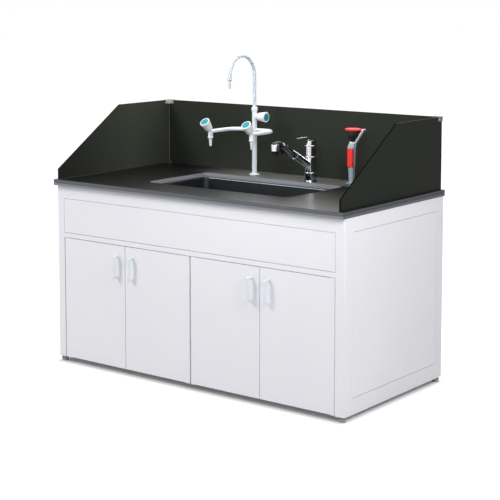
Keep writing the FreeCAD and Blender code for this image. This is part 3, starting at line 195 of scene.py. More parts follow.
def addStudio(setup):
    scene = bpy.context.scene
    scene.view_settings.view_transform = "Standard"
    addSky(scene, setup)
    for name, place, target, size, power, colour, spread in setup["lamps"]:
        aim = (Vector(target) - Vector(place)).to_track_quat("-Z", "Y").to_euler()
        bpy.ops.object.light_add(type="AREA", location=place, rotation=aim)
        lamp = bpy.context.active_object
        lamp.name = name
        lamp.data.size = size
        lamp.data.energy = power
        lamp.data.color = colour
        lamp.data.spread = math.radians(spread)
        lamp.visible_camera = False
    bpy.ops.mesh.primitive_plane_add(size=setup["floorSize"])
    floor = bpy.context.active_object
    floor.name = "studioFloor"
    floor.data.materials.append(floorMaterial(setup))
    floor.select_set(False)


def addSky(scene, setup):
    world = bpy.data.worlds.new("studioSky")
    scene.world = world
    world.use_nodes = True
    tree = world.node_tree
    background = tree.nodes["Background"]
    background.inputs["Color"].default_value = (*setup["skyForObject"], 1)
    background.inputs["Strength"].default_value = setup["skyStrength"]
    white = addNode(tree, "ShaderNodeBackground")
    white.inputs["Color"].default_value = (1, 1, 1, 1)
    blend = addNode(tree, "ShaderNodeMixShader")
    for socket, source in zip(blend.inputs, (seenRays(tree), background.outputs[0], white.outputs[0])):
        tree.links.new(source, socket)
    tree.links.new(blend.outputs[0], tree.nodes["World Output"].inputs["Surface"])


def floorMaterial(setup):
    # the floor's own light makes it white around the table and is turned down under it, a painted shadow in
    # the gap under the table
    material, tree, shader = newMaterial("studioFloor", {
        "Base Color": (*setup["floorDiffuse"], 1),
        "Roughness": setup["floorRough"],
        "Specular IOR Level": 0,
        "Emission Color": (1, 1, 1, 1),
    })
    size = vectorNode(tree, "ABSOLUTE", placeOf(tree))
    beyond = axesOf(tree, vectorNode(tree, "SUBTRACT", size, (*setup["footprint"], 0)))
    away = mathNode(tree, "MAXIMUM", beyond["X"], beyond["Y"])
    light = rampNode(tree, away, setup["underTableShadowFade"], setup["floorLights"], "SMOOTHSTEP")
    strength = mathNode(tree, "MULTIPLY", seenRays(tree), light)
    tree.links.new(strength, shader.inputs["Emission Strength"])
    return material


def seenRays(tree):
    # camera, glossy and transmission rays see the plain white surroundings
    rays = addNode(tree, "ShaderNodeLightPath").outputs
    first = mathNode(tree, "MAXIMUM", rays["Is Camera Ray"], rays["Is Glossy Ray"])
    return mathNode(tree, "MAXIMUM", first, rays["Is Transmission Ray"])


addStudio(studio)
print("studio ready")

# Shared surface effects
# most of a noise lies within this span
noiseSpan = (0.3, 0.7)


def newGroup(name, inputs, outputs):
    group = bpy.data.node_groups.new(name, "ShaderNodeTree")
    for socketName, kind, value in inputs:
        socket = group.interface.new_socket(socketName, in_out="INPUT", socket_type=kind)
        socket.default_value = value
    for socketName, kind in outputs:
        group.interface.new_socket(socketName, in_out="OUTPUT", socket_type=kind)
    start = group.nodes.new("NodeGroupInput")
    end = group.nodes.new("NodeGroupOutput")
    return group, start, end


def makePeelGroup():
    # tiny waves of a sprayed or moulded surface
    group, start, end = newGroup(
        "surfacePeel",
        [("Scale", "NodeSocketFloat", 400.0), ("Depth", "NodeSocketFloat", 0.0001)],
        [("Normal", "NodeSocketVector")],
    )
    waves = noiseNode(group, placeOf(group), start.outputs["Scale"], 2)
    group.links.new(bumpNode(group, waves, start.outputs["Depth"]), end.inputs["Normal"])
    return group


def makeToneGroup():
    # slow drift of colour and gloss with a fine speck over it
    group, start, end = newGroup(
        "toneDrift",
        [
            ("Colour", "NodeSocketColor", (0.8, 0.8, 0.8, 1)),
            ("Second", "NodeSocketColor", (0.7, 0.7, 0.7, 1)),
            ("Patch Scale", "NodeSocketFloat", 6.0),
            ("Speck Scale", "NodeSocketFloat", 900.0),
            ("Speck Amount", "NodeSocketFloat", 0.05),
            ("Rough Low", "NodeSocketFloat", 0.3),
            ("Rough High", "NodeSocketFloat", 0.4),
        ],
        [("Colour", "NodeSocketColor"), ("Roughness", "NodeSocketFloat")],
    )
    given = start.outputs
    place = placeOf(group)
    patch = noiseNode(group, place, given["Patch Scale"], 3)
    speck = noiseNode(group, place, given["Speck Scale"], 1)
    darkest = mathNode(group, "SUBTRACT", 1, given["Speck Amount"])
    fleck = rampNode(group, speck, noiseSpan, (darkest, 1))
    grey = addNode(group, "ShaderNodeCombineColor")
    for channel in ("Red", "Green", "Blue"):
        group.links.new(fleck, grey.inputs[channel])
    mixed = mixNode(group, patch, given["Colour"], given["Second"])
    shade = mixNode(group, 1, mixed, grey.outputs[0], blend="MULTIPLY")
    rough = rampNode(group, patch, (0, 1), (given["Rough Low"], given["Rough High"]))
    group.links.new(shade, end.inputs["Colour"])
    group.links.new(rough, end.inputs["Roughness"])
    return group


def makeBrushGroup():
    # drawn or brushed lines along one direction of the piece
    group, start, end = newGroup(
        "brushLines",
        [
            ("Stretch", "NodeSocketVector", (20, 900, 900)),
            ("Rough Low", "NodeSocketFloat", 0.22),
            ("Rough High", "NodeSocketFloat", 0.4),
            ("Depth", "NodeSocketFloat", 0.00003),
        ],
        [("Roughness", "NodeSocketFloat"), ("Normal", "NodeSocketVector")],
    )
    given = start.outputs
    stretched = vectorNode(group, "MULTIPLY", placeOf(group), given["Stretch"])
    lines = noiseNode(group, stretched, 1, 3)
    rough = rampNode(group, lines, noiseSpan, (given["Rough Low"], given["Rough High"]))
    group.links.new(rough, end.inputs["Roughness"])
    group.links.new(bumpNode(group, lines, given["Depth"]), end.inputs["Normal"])
    return group


surfacePeel = makePeelGroup()
toneDrift = makeToneGroup()
brushLines = makeBrushGroup()


def placeGroup(tree, group, values):
    node = tree.nodes.new("ShaderNodeGroup")
    node.node_tree = group
    for key, value in values.items():
        node.inputs[key].default_value = value
    return node


def rgb(red, green, blue):
    # a colour as a paint chart gives it, 0 to 255, turned into light values
    values = []
    for part in (red, green, blue):
        share = part / 255
        values.append(share / 12.92 if share <= 0.04045 else ((share + 0.055) / 1.055) ** 2.4)
    return (*values, 1)


def coatedMaterial(name, look):
    # paint, laminate, plastic or rubber
    material, tree, shader = newMaterial(name, look.get("fixed", {}))
    tone = placeGroup(tree, toneDrift, {
        "Colour": rgb(*look["colour"]),
        "Second": rgb(*look["second"]),
        "Patch Scale": look.get("patch", 5.0),
        "Speck Scale": look.get("speck", 900.0),
        "Speck Amount": look.get("speckAmount", 0.03),
        "Rough Low": look["rough"][0],
        "Rough High": look["rough"][1],
    })
    peel = placeGroup(tree, surfacePeel, {"Scale": look["grain"], "Depth": look["depth"]})
    dressShader(tree, shader, colour=tone.outputs["Colour"], roughness=tone.outputs["Roughness"],
                normal=peel.outputs["Normal"])
    return material


def placeBrush(tree, look):
    return placeGroup(tree, brushLines, {
        "Stretch": look["stretch"],
        "Rough Low": look["rough"][0],
        "Rough High": look["rough"][1],
        "Depth": look["depth"],
    })


def metalMaterial(name, look):
    material, tree, shader = newMaterial(name, {"Metallic": 1.0, **look.get("fixed", {})})
    tone = placeGroup(tree, toneDrift, {
        "Colour": rgb(*look["colour"]),
        "Second": rgb(*look["second"]),
        "Patch Scale": look.get("patch", 8.0),
        "Speck Amount": look.get("speckAmount", 0.02),
    })
    brush = placeBrush(tree, look)
    dressShader(tree, shader, colour=tone.outputs["Colour"], roughness=brush.outputs["Roughness"],
                normal=brush.outputs["Normal"])
    return material


# Looks of the plain materials: colours as a paint chart gives them, grain and patch in waves to the metre
coatedLooks = {
    "frame_white": {"colour": (236, 236, 240), "second": (232, 232, 237), "rough": (0.42, 0.5),
                    "grain": 620.0, "depth": 0.00005, "speckAmount": 0.012},
    "board_white": {"colour": (236, 236, 240), "second": (232, 232, 237), "rough": (0.36, 0.46),
                    "grain": 1400.0, "depth": 0.00003, "speckAmount": 0.015},
    "handle_white": {"colour": (222, 228, 237), "second": (216, 223, 233), "rough": (0.24, 0.32),
                     "grain": 300.0, "depth": 0.00005, "speckAmount": 0.0},
    "catch_grey": {"colour": (90, 92, 94), "second": (78, 80, 82), "rough": (0.5, 0.6),
                   "grain": 1500.0, "depth": 0.0001},
    "foot_grey": {"colour": (168, 166, 161), "second": (150, 148, 144), "rough": (0.55, 0.68),
                  "grain": 1800.0, "depth": 0.00006, "patch": 40.0, "speckAmount": 0.08},
    "trap_white": {"colour": (222, 222, 218), "second": (212, 212, 208), "rough": (0.4, 0.5),
                   "grain": 700.0, "depth": 0.0001},
    "tap_white": {"colour": (218, 226, 234), "second": (212, 221, 230), "rough": (0.36, 0.44),
                  "grain": 900.0, "depth": 0.000015, "patch": 30.0, "speckAmount": 0.03},
    # painted light: the tap's paint again, painted lighter for the column, arms and nozzles
    "tap_white_lit": {"colour": (238, 245, 251), "second": (233, 240, 247), "rough": (0.36, 0.44),
                  "grain": 900.0, "depth": 0.000015, "patch": 30.0, "speckAmount": 0.02},
    "knob_white": {"colour": (246, 246, 246), "second": (240, 239, 239), "rough": (0.38, 0.46),
                   "grain": 1500.0, "depth": 0.00002, "patch": 30.0},
    "holder_grey": {"colour": (172, 179, 186), "second": (156, 164, 172), "rough": (0.4, 0.5),
                    "grain": 1200.0, "depth": 0.00003, "patch": 40.0},
    "grip_blue": {"colour": (168, 185, 193), "second": (152, 170, 179), "rough": (0.5, 0.62),
                  "grain": 1400.0, "depth": 0.00008, "patch": 30.0, "speckAmount": 0.12},
    "signal_red": {"colour": (252, 56, 46), "second": (246, 46, 38), "rough": (0.5, 0.6),
                   "grain": 1200.0, "depth": 0.00003, "patch": 40.0},
    "cup_black": {"colour": (30, 30, 31), "second": (22, 22, 23), "rough": (0.4, 0.55),
                  "grain": 1400.0, "depth": 0.00005, "patch": 40.0, "speckAmount": 0.1},
    "rose_grey": {"colour": (160, 160, 160), "second": (148, 148, 148), "rough": (0.45, 0.55),
                  "grain": 1200.0, "depth": 0.0001},
    "strap_white": {"colour": (248, 249, 250), "second": (242, 244, 246), "rough": (0.4, 0.5),
                    "grain": 900.0, "depth": 0.00003},
    "spray_black": {"colour": (32, 34, 36), "second": (24, 25, 27), "rough": (0.34, 0.44),
                    "grain": 900.0, "depth": 0.00002, "patch": 40.0, "speckAmount": 0.05,
                    "fixed": {"Specular IOR Level": 0.2}},
    "buffer_clear": {"colour": (206, 210, 212), "second": (196, 200, 203), "rough": (0.2, 0.3),
                     "grain": 900.0, "depth": 0.00002, "patch": 60.0,
                     "fixed": {"Transmission Weight": 0.6, "IOR": 1.45}},
    "corner_grey": {"colour": (122, 118, 112), "second": (104, 101, 96), "rough": (0.3, 0.42),
                    "grain": 300.0, "depth": 0.0001},
    "sealant": {"colour": (34, 35, 35), "second": (26, 27, 27), "rough": (0.35, 0.5),
                "grain": 300.0, "depth": 0.0003},
}
metalLooks = {
    "fitting_steel": {"colour": (190, 191, 192), "second": (172, 173, 175), "rough": (0.28, 0.42),
                      "stretch": (60, 900, 900), "depth": 0.00002},
    "bowl_steel": {"colour": (106, 110, 113), "second": (92, 96, 100), "rough": (0.3, 0.38),
                   "stretch": (14, 700, 900), "depth": 0.00001},
    "lock_nut_brass": {"colour": (205, 172, 110), "second": (186, 150, 90), "rough": (0.3, 0.45),
                       "stretch": (500, 500, 60), "depth": 0.00002},
    "band_chrome": {"colour": (230, 232, 236), "second": (218, 220, 225), "rough": (0.2, 0.28),
                    "stretch": (60, 60, 900), "depth": 0.000005},
    "mixer_chrome": {"colour": (208, 210, 214), "second": (198, 200, 205), "rough": (0.04, 0.08),
                     "stretch": (200, 200, 200), "depth": 0.0},
}
materials = {}
for name, look in coatedLooks.items():
    materials[name] = coatedMaterial(name, look)
for name, look in metalLooks.items():
    materials[name] = metalMaterial(name, look)

# Worktop: dark resin whose cut edges are lighter, most of all in the lower of its two layers. Light and
# shade are painted on it too: a painted highlight on the wall round the cut-out, painted shade on the end
# faces and a painted sheen on the strip behind the bowl
worktopLook = {
    "top": (15, 16, 16),
    "topSecond": (9, 10, 10),
    "upperEdge": (88, 92, 96),
    "lowerEdge": (126, 129, 132),
    # painted highlight: colour of the wall round the cut-out
    "innerEdgeLit": (146, 150, 155),
    # painted shade: the edge faces at the ends are painted darker by this share
    "endShadeShare": 0.55,
    "endShadeSpan": (0.4, 0.9),
    "uprightSpan": (0.85, 0.5),
    "cutoutMiddle": (0.0, 0.006, 0.0),
    "cutoutHalf": (0.371, 0.198, 9.0),
    "cutoutBlend": 0.001,
    # painted sheen: the paler tone of the strip behind the bowl stands in for a reflection of light
    "paintedSheenTone": (114, 112, 109),
    "sheenFromX": (-0.52, -0.1),
    "sheenToX": (0.3, 0.46),
    "sheenFromY": (0.192, 0.215),
    "layerSpan": (0.7844, 0.7856),
    "rough": (0.28, 0.36),
    "edgeRough": 0.75,
    "gloss": 0.36,
    "patch": 3.0,
    "speck": 700.0,
    "speckAmount": 0.3,
    "grain": 260.0,
    "depth": 0.00008,
}


def addLitInnerEdge(tree, place, outer, look):
    # painted highlight: the wall round the cut-out is painted lighter than the outer edge, standing in for
    # the light it catches
    size = vectorNode(tree, "ABSOLUTE", vectorNode(tree, "SUBTRACT", place, look["cutoutMiddle"]))
    beyond = axesOf(tree, vectorNode(tree, "SUBTRACT", size, look["cutoutHalf"]))
    away = mathNode(tree, "MAXIMUM", beyond["X"], beyond["Y"])
    outside = rampNode(tree, away, (0, look["cutoutBlend"]))
    return mixNode(tree, outside, rgb(*look["innerEdgeLit"]), outer)


def addPaintedSheen(tree, axes, look):
    # painted sheen: the strip behind the bowl is painted paler, standing in for a reflection of light
    fromLeft = rampNode(tree, axes["X"], look["sheenFromX"], (0, 1), "SMOOTHSTEP")
    toRight = rampNode(tree, axes["X"], look["sheenToX"], (1, 0), "SMOOTHSTEP")
    behind = rampNode(tree, axes["Y"], look["sheenFromY"], (0, 1), "SMOOTHSTEP")
    return mathNode(tree, "MULTIPLY", mathNode(tree, "MULTIPLY", fromLeft, toRight), behind)


def worktopMaterial(look):
    material, tree, shader = newMaterial("worktop_dark", {"Specular IOR Level": look["gloss"]})
    tone = placeGroup(tree, toneDrift, {
        "Colour": rgb(*look["top"]),
        "Second": rgb(*look["topSecond"]),
        "Patch Scale": look["patch"],
        "Speck Scale": look["speck"],
        "Speck Amount": look["speckAmount"],
        "Rough Low": look["rough"][0],
        "Rough High": look["rough"][1],
    })
    peel = placeGroup(tree, surfacePeel, {"Scale": look["grain"], "Depth": look["depth"]})
    place = placeOf(tree)
    axes = axesOf(tree, place)
    normal = axesOf(tree, facingOf(tree))
    layer = rampNode(tree, axes["Z"], look["layerSpan"])
    edge = mixNode(tree, layer, rgb(*look["lowerEdge"]), rgb(*look["upperEdge"]))
    # painted shade on the end faces of the edge
    atEnd = mathNode(tree, "ABSOLUTE", normal["X"])
    endShade = rampNode(tree, atEnd, look["endShadeSpan"], (1, look["endShadeShare"]))
    inner = addLitInnerEdge(tree, place, vectorNode(tree, "SCALE", edge, endShade), look)
    # painted sheen on the strip behind the bowl
    sheen = addPaintedSheen(tree, axes, look)
    surface = mixNode(tree, sheen, tone.outputs["Colour"], rgb(*look["paintedSheenTone"]))
    upright = rampNode(tree, normal["Z"], look["uprightSpan"])
    matt = mixNode(tree, upright, tone.outputs["Roughness"], look["edgeRough"], "FLOAT")
    dressShader(tree, shader, colour=mixNode(tree, upright, surface, inner), roughness=matt,
                normal=peel.outputs["Normal"])
    return material


materials["worktop_dark"] = worktopMaterial(worktopLook)

# Splash shields: one dark sheet with light and shade painted in. Each shield has its own painted tone, and
# the left one is painted darker toward its front and near the back corner. Cut edges are nearly black, but
# for the right one's top, which carries a painted highlight
shieldLook = {
    # painted light: one sheet in three tones, lighter or darker by how light falls on each shield
    "paintedLightTones": {"shield_left": (73, 76, 68), "shield_back": (55, 58, 51), "shield_right": (34, 37, 32)},
    "flats": {"shield_left": (1, 0, 0), "shield_back": (0, 1, 0), "shield_right": (1, 0, 0)},
    "cutEdge": (9, 10, 9),
    # painted highlight on the right shield's top edge; the others keep the cut edge's colour
    "topEdge": {"shield_left": (9, 10, 9), "shield_back": (9, 10, 9), "shield_right": (78, 82, 84)},
    "cutSpan": (0.8, 0.4),
    "topSpan": (0.85, 0.95),
    "cutRough": 0.9,
    "drift": 0.84,
    "patch": 1.6,
    "speckAmount": 0.05,
    "grain": 160.0,
    "depth": 0.00002,
    "rough": (0.26, 0.34),
    "gloss": 0.03,
    # painted shade: the left shield is painted darker toward its front and near the back corner
    "frontShadeFrom": {"shield_left": 0.4, "shield_back": 1.0, "shield_right": 1.0},
    "frontShadeSpan": (-0.36, 0.1),
    "cornerShare": {"shield_left": 0.8, "shield_back": 1.0, "shield_right": 1.0},
    "cornerShadeSpan": (0.1, 0.36),
}


def shieldMaterial(name, look):
    label = name.removeprefix("shield_")
    material, tree, shader = newMaterial("shield_dark_" + label, {"Specular IOR Level": look["gloss"]})
    sheet = look["paintedLightTones"][name]
    tone = placeGroup(tree, toneDrift, {
        "Colour": rgb(*sheet),
        "Second": rgb(*[part * look["drift"] for part in sheet]),
        "Patch Scale": look["patch"],
        "Speck Amount": look["speckAmount"],
        "Rough Low": look["rough"][0],
        "Rough High": look["rough"][1],
    })
    peel = placeGroup(tree, surfacePeel, {"Scale": look["grain"], "Depth": look["depth"]})
    facing = facingOf(tree)
    flat = mathNode(tree, "ABSOLUTE", vectorNode(tree, "DOT_PRODUCT", facing, look["flats"][name]))
    cut = rampNode(tree, flat, look["cutSpan"])
    # painted highlight on upward cut edges where the colour differs
    upward = rampNode(tree, axesOf(tree, facing)["Z"], look["topSpan"])
    rim = mixNode(tree, upward, rgb(*look["cutEdge"]), rgb(*look["topEdge"][name]))
    # painted shade toward the front and near the back corner
    inward = axesOf(tree, placeOf(tree))["Y"]
    fade = rampNode(tree, inward, look["frontShadeSpan"], (look["frontShadeFrom"][name], 1))
    corner = rampNode(tree, inward, look["cornerShadeSpan"], (1, look["cornerShare"][name]))
    share = mathNode(tree, "MULTIPLY", fade, corner)
    shade = vectorNode(tree, "SCALE", tone.outputs["Colour"], share)
    matt = mixNode(tree, cut, tone.outputs["Roughness"], look["cutRough"], "FLOAT")
    dressShader(tree, shader, colour=mixNode(tree, cut, shade, rim), roughness=matt,
                normal=peel.outputs["Normal"])
    return material


# Shield clips: one metal with painted light: a painted highlight at the left top corner, painted shade at
# the right one and at the foot
clipLook = {
    "litUpperLeft": (196, 195, 191),
    "shadedUpperRight": (98, 99, 99),
    # painted shade at the foot of the clips
    "lower": (56, 58, 55),
    "splitHeights": (0.94, 0.96),
    "splitAcross": (-0.1, 0.1),
    "rough": (0.2, 0.34),
    "stretch": (60, 900, 900),
    "depth": 0.00002,
}


def clipMaterial(look):
    material, tree, shader = newMaterial("clip_metal", {"Metallic": 1.0})
    axes = axesOf(tree, placeOf(tree))
    # painted highlight at the left corner, painted shade at the right and at the foot
    across = rampNode(tree, axes["X"], look["splitAcross"])
    upper = mixNode(tree, across, rgb(*look["litUpperLeft"]), rgb(*look["shadedUpperRight"]))
    raised = rampNode(tree, axes["Z"], look["splitHeights"])
    shade = mixNode(tree, raised, rgb(*look["lower"]), upper)
    brush = placeBrush(tree, look)
    dressShader(tree, shader, colour=shade, roughness=brush.outputs["Roughness"],
                normal=brush.outputs["Normal"])
    return material


materials["clip_metal"] = clipMaterial(clipLook)

# Mixer hub: bright round its wall; the slope and flat of its top are painted dark, a painted reflection of
# a dark ceiling
hubLook = {
    "wall": (208, 210, 214),
    "top": (64, 66, 70),
    "topSpan": (0.3, 0.6),
    "rough": (0.05, 0.09),
    "stretch": (200, 200, 200),
    "depth": 0.0,
}


def hubMaterial(look):
    material, tree, shader = newMaterial("hub_chrome", {"Metallic": 1.0})
    # painted dark reflection on the upward faces
    upward = rampNode(tree, axesOf(tree, facingOf(tree))["Z"], look["topSpan"])
    shade = mixNode(tree, upward, rgb(*look["wall"]), rgb(*look["top"]))
    brush = placeBrush(tree, look)
    dressShader(tree, shader, colour=shade, roughness=brush.outputs["Roughness"])
    return material


# Knob caps: teal with a round blue middle
capLook = {
    "rim": (16, 152, 158),
    "middle": (24, 120, 208),
    "topRim": (22, 146, 152),
    "middleSpan": (0.003, 0.007),
    "rough": 0.32,
    "coat": 0.3,
    "grain": 900.0,
    "depth": 0.00006,
}


def capMaterial(name, centre, rim, middle, look):
    material, tree, shader = newMaterial(name, {"Roughness": look["rough"], "Coat Weight": look["coat"]})
    away = vectorNode(tree, "DISTANCE", placeOf(tree), centre)
    spread = rampNode(tree, away, look["middleSpan"])
    peel = placeGroup(tree, surfacePeel, {"Scale": look["grain"], "Depth": look["depth"]})
    dressShader(tree, shader, colour=mixNode(tree, spread, rgb(*middle), rgb(*rim)),
                normal=peel.outputs["Normal"])
    return material


def middleOf(node):
    low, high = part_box(node)
    return (low + high) / 2


def dressNodes():
    slots = {part["node"]: part["material_slot"] for part in frame["record"]["subparts"]}
    for name, node in nodes.items():
        slotName = slots[name]
        if slotName == "cap_teal":
            atTop = name.endswith("top")
            rim = capLook["topRim" if atTop else "rim"]
            middle = rim if atTop else capLook["middle"]
            label = name.removeprefix("knob_cap_")
            material = capMaterial("cap_teal_" + label, middleOf(name), rim, middle, capLook)
        elif slotName == "shield_dark":
            material = shieldMaterial(name, shieldLook)
        elif name == "mixer_hub":
            material = hubMaterial(hubLook)
        # the column, arms and nozzles take the lighter, painted-light copy of the tap's paint
        elif slotName == "tap_white" and not name.startswith("gooseneck"):
            material = materials["tap_white_lit"]
        else:
            material = materials[slotName]
        node.data.materials.clear()
        node.data.materials.append(material)


dressNodes()
print("materials on", len(nodes), "nodes")

# Steps that the added pieces share
def openMesh():
    bpy.ops.object.mode_set(mode="EDIT")
    bpy.ops.mesh.select_all(action="SELECT")


def closeMesh():
    bpy.ops.object.mode_set(mode="OBJECT")
    return bpy.context.active_object


def joinPieces(parts):
    for part in parts:
        part.select_set(True)
    bpy.ops.object.join()


def finishPiece(name, body, slotName, material, angle=35):
    # apply what is left, leave the origin at the frame's own, then dress and hang the piece
    if bpy.context.mode != "OBJECT":
        bpy.ops.object.mode_set(mode="OBJECT")
    piece = bpy.context.active_object
    piece.name = name
    piece.select_set(True)
    for modifier in list(piece.modifiers):
        bpy.ops.object.modifier_apply(modifier=modifier.name)
    bpy.ops.object.transform_apply(location=True, rotation=True, scale=True)
    bpy.ops.object.shade_smooth_by_angle(angle=math.radians(angle))
    piece.data.materials.clear()
    piece.data.materials.append(material)
    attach(piece, body)
    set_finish(piece, slotName)
    bpy.ops.object.select_all(action="DESELECT")
    return piece


def turnedPiece(base, direction, profile, segments=32):
    # a disc pulled up step by step through the heights and radii of a profile
    base = Vector(base)
    direction = Vector(direction).normalized()
    turn = direction.to_track_quat("Z", "Y").to_euler()
    start = base + direction * profile[0][0]
    bpy.ops.mesh.primitive_circle_add(
        vertices=segments, radius=profile[0][1], fill_type="NGON", location=start, rotation=turn
    )
    openMesh()
    for (low, lowRadius), (high, highRadius) in zip(profile, profile[1:]):
        bpy.ops.mesh.extrude_region_move(TRANSFORM_OT_translate={"value": direction * (high - low)})
        share = highRadius / lowRadius
        bpy.ops.transform.resize(value=(share, share, share), center_override=base + direction * high)
    bpy.ops.mesh.select_all(action="SELECT")
    bpy.ops.mesh.normals_make_consistent(inside=False)


def sweptPiece(points, radii, thickness=1.0):
    # a smooth curve through a few points, thickened and made a mesh
    bpy.ops.curve.primitive_nurbs_path_add()
    curve = bpy.context.active_object.data
    curve.splines.clear()
    spline = curve.splines.new("NURBS")
    spline.points.add(len(points) - 1)
    for point, place, radius in zip(spline.points, points, radii):
        point.co = (*place, 1)
        point.radius = radius
    spline.use_endpoint_u = True
    spline.order_u = 3
    spline.resolution_u = 8
    curve.bevel_depth = thickness
    curve.bevel_resolution = 6
    curve.use_fill_caps = True
    bpy.ops.object.convert(target="MESH")


def copyPiece(piece, name, shift, body):
    bpy.ops.object.select_all(action="DESELECT")
    piece.select_set(True)
    bpy.context.view_layer.objects.active = piece
    bpy.ops.object.duplicate()
    twin = bpy.context.active_object
    twin.name = name
    twin.location = shift
    bpy.ops.object.transform_apply(location=True)
    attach(twin, body)
    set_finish(twin, piece["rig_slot"])
    twin.select_set(False)
    return twin


# Beads: sealant round the bowl and the foot of the shields, and the bowl's bright rolled rim
beads = {
    "sealantLow": (-0.3682, -0.1892),
    "sealantHigh": (0.3682, 0.2012),
    "sealantHeight": 0.7808,
    "sealantCorner": 0.0292,
    "sealantRadius": 0.0017,
    "rimLow": (-0.3662, -0.1872),
    "rimHigh": (0.3662, 0.1992),
    "rimHeight": 0.7764,
    "rimCorner": 0.0272,
    "rimRadius": 0.0027,
    "shieldHeight": 0.8002,
    "shieldRadius": 0.0016,
    "cornerRadius": 0.0012,
    "cornerDrop": 0.012,
}


def addFrameLoop(low, high, height):
    middle = ((low[0] + high[0]) / 2, (low[1] + high[1]) / 2, height)
    bpy.ops.mesh.primitive_plane_add(size=1, location=middle)
    openMesh()
    bpy.ops.transform.resize(value=(high[0] - low[0], high[1] - low[1], 1), center_override=middle)


def beadAlongEdges(radius):
    bpy.ops.object.mode_set(mode="OBJECT")
    bpy.ops.object.convert(target="CURVE")
    curve = bpy.context.active_object.data
    curve.bevel_depth = radius
    curve.bevel_resolution = 2
    curve.use_fill_caps = True
    bpy.ops.object.convert(target="MESH")


def addBowlBead(look, part):
    addFrameLoop(look[part + "Low"], look[part + "High"], look[part + "Height"])
    bpy.ops.mesh.bevel(offset=look[part + "Corner"], segments=8, affect="VERTICES")
    bpy.ops.mesh.select_all(action="SELECT")
    bpy.ops.mesh.delete(type="ONLY_FACE")
    beadAlongEdges(look[part + "Radius"])


def addShieldBeads(look):
    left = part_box("shield_left")
    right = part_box("shield_right")
    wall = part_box("shield_back")[0].y
    addFrameLoop((left[1].x, left[0].y), (right[0].x, wall), look["shieldHeight"])
    bpy.ops.mesh.select_all(action="DESELECT")
    bpy.ops.mesh.select_mode(type="EDGE")
    mesh = bmesh.from_edit_mesh(bpy.context.edit_object.data)
    for edge in mesh.edges:
        edge.select_set(all(vertex.co.y < 0 for vertex in edge.verts))
    bmesh.update_edit_mesh(bpy.context.edit_object.data)
    bpy.ops.mesh.delete(type="EDGE")
    beadAlongEdges(look["shieldRadius"])
    finishPiece("shieldSealant", "table", "shield_dark", materials["sealant"])
    foot = look["shieldHeight"] + look["shieldRadius"]
    for name, x in (("left", left[1].x), ("right", right[0].x)):
        turnedPiece((x, wall, 0), (0, 0, 1), [
            (foot, look["cornerRadius"]), (left[1].z - look["cornerDrop"], look["cornerRadius"]),
        ], segments=12)
        finishPiece("cornerSealant_" + name, "table", "shield_dark", materials["corner_grey"])


addBowlBead(beads, "sealant")
finishPiece("bowlSealant", "table", "worktop_dark", materials["sealant"])
addBowlBead(beads, "rim")
finishPiece("bowlRim", "table", "bowl_steel", materials["bowl_steel"])
addShieldBeads(beads)
print("beads laid")

# Black rings under what stands on the worktop
gaskets = {
    "thickness": 0.0009,
    "edge": 0.0003,
    "sunk": 0.0001,
    "innerShare": 0.6,
    "rings": [("tap_flange", 0.0006), ("mixer_base", 0.0007), ("eyewash_holder", -0.0096)],
}


def addGaskets(look):
    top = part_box("worktop")[1].z
    for node, proud in look["rings"]:
        low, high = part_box(node)
        middle = ((low.x + high.x) / 2, (low.y + high.y) / 2, top)
        radius = (high.x - low.x) / 2 + proud
        edge = look["edge"]
        turnedPiece(middle, (0, 0, 1), [
            (-look["sunk"], radius),
            (look["thickness"] - edge, radius),
            (look["thickness"], radius - edge),
            (look["thickness"], radius * look["innerShare"]),
        ], segments=48)
        finishPiece("gasket_" + node, "table", "cup_black", materials["sealant"])


addGaskets(gaskets)
print("gaskets under the fittings")

# The pull-out spray: a tapering wand, a dark elbow and toggle, and a chrome head over a dark face
spray = {
    "root": (0.179, 0.234, 0.8648),
    "direction": (-0.1199, -0.8532, 0.5075),
    "below": (-0.0705, -0.5024, -0.8614),
    "seam": 0.1074,
    "crown": (0.149, 0.0206, 0.968),
    "wandProfile": [
        (-0.078, 0.0096), (-0.0765, 0.0108), (-0.0002, 0.0108), (0.0, 0.0158), (0.0006, 0.0168),
        (0.0026, 0.0168), (0.0032, 0.0158), (0.02, 0.0159), (0.045, 0.0155), (0.07, 0.0147),
        (0.09, 0.0137), (0.1, 0.0130), (0.102, 0.0118), (0.102, 0.0060),
    ],
    "headProfile": [
        (0.019, 0.0166), (0.0184, 0.0174), (0.006, 0.0175), (-0.004, 0.0173), (-0.0085, 0.0166),
        (-0.0092, 0.0152), (-0.0092, 0.0080),
    ],
    "domeProfile": [
        (-0.0088, 0.0158), (-0.0122, 0.0143), (-0.0148, 0.0112), (-0.0163, 0.0072), (-0.0168, 0.0030),
    ],
    "faceProfile": [
        (0.0188, 0.0163), (0.0215, 0.0163), (0.0225, 0.0156), (0.0372, 0.0150), (0.038, 0.0142),
        (0.038, 0.0122), (0.0366, 0.0116), (0.0366, 0.0020),
    ],
    "elbowStart": 0.099,
    "elbowRise": 0.016,
    "elbowOver": (0, 0.008, 0.006),
    "elbowEnd": (0, 0.001, -0.002),
    "elbowRadii": [0.0126, 0.0128, 0.0126, 0.0118],
    "nubRings": [(0.0096, 14), (0.0062, 9), (0.0028, 4)],
    "nubDrop": 0.0364,
    "nubProfile": [(-0.0003, 0.0007), (0.0006, 0.0007), (0.001, 0.00042)],
    "toggleAlong": 0.1909,
    "toggleSize": (0.017, 0.0136, 0.034),
    "toggleCorner": 0.00408,
    "padAlong": 0.16,
    "padDrop": 0.0145,
    "padSize": (0.011, 0.052, 0.006),
    "padCorner": 0.0024,
    "studAlong": 0.1134,
    "studDrop": 0.0155,
    "studProfile": [
        (-0.001, 0.0024), (0.0006, 0.0024), (0.0012, 0.0036), (0.003, 0.0042), (0.0046, 0.0036),
        (0.0054, 0.0018),
    ],
}


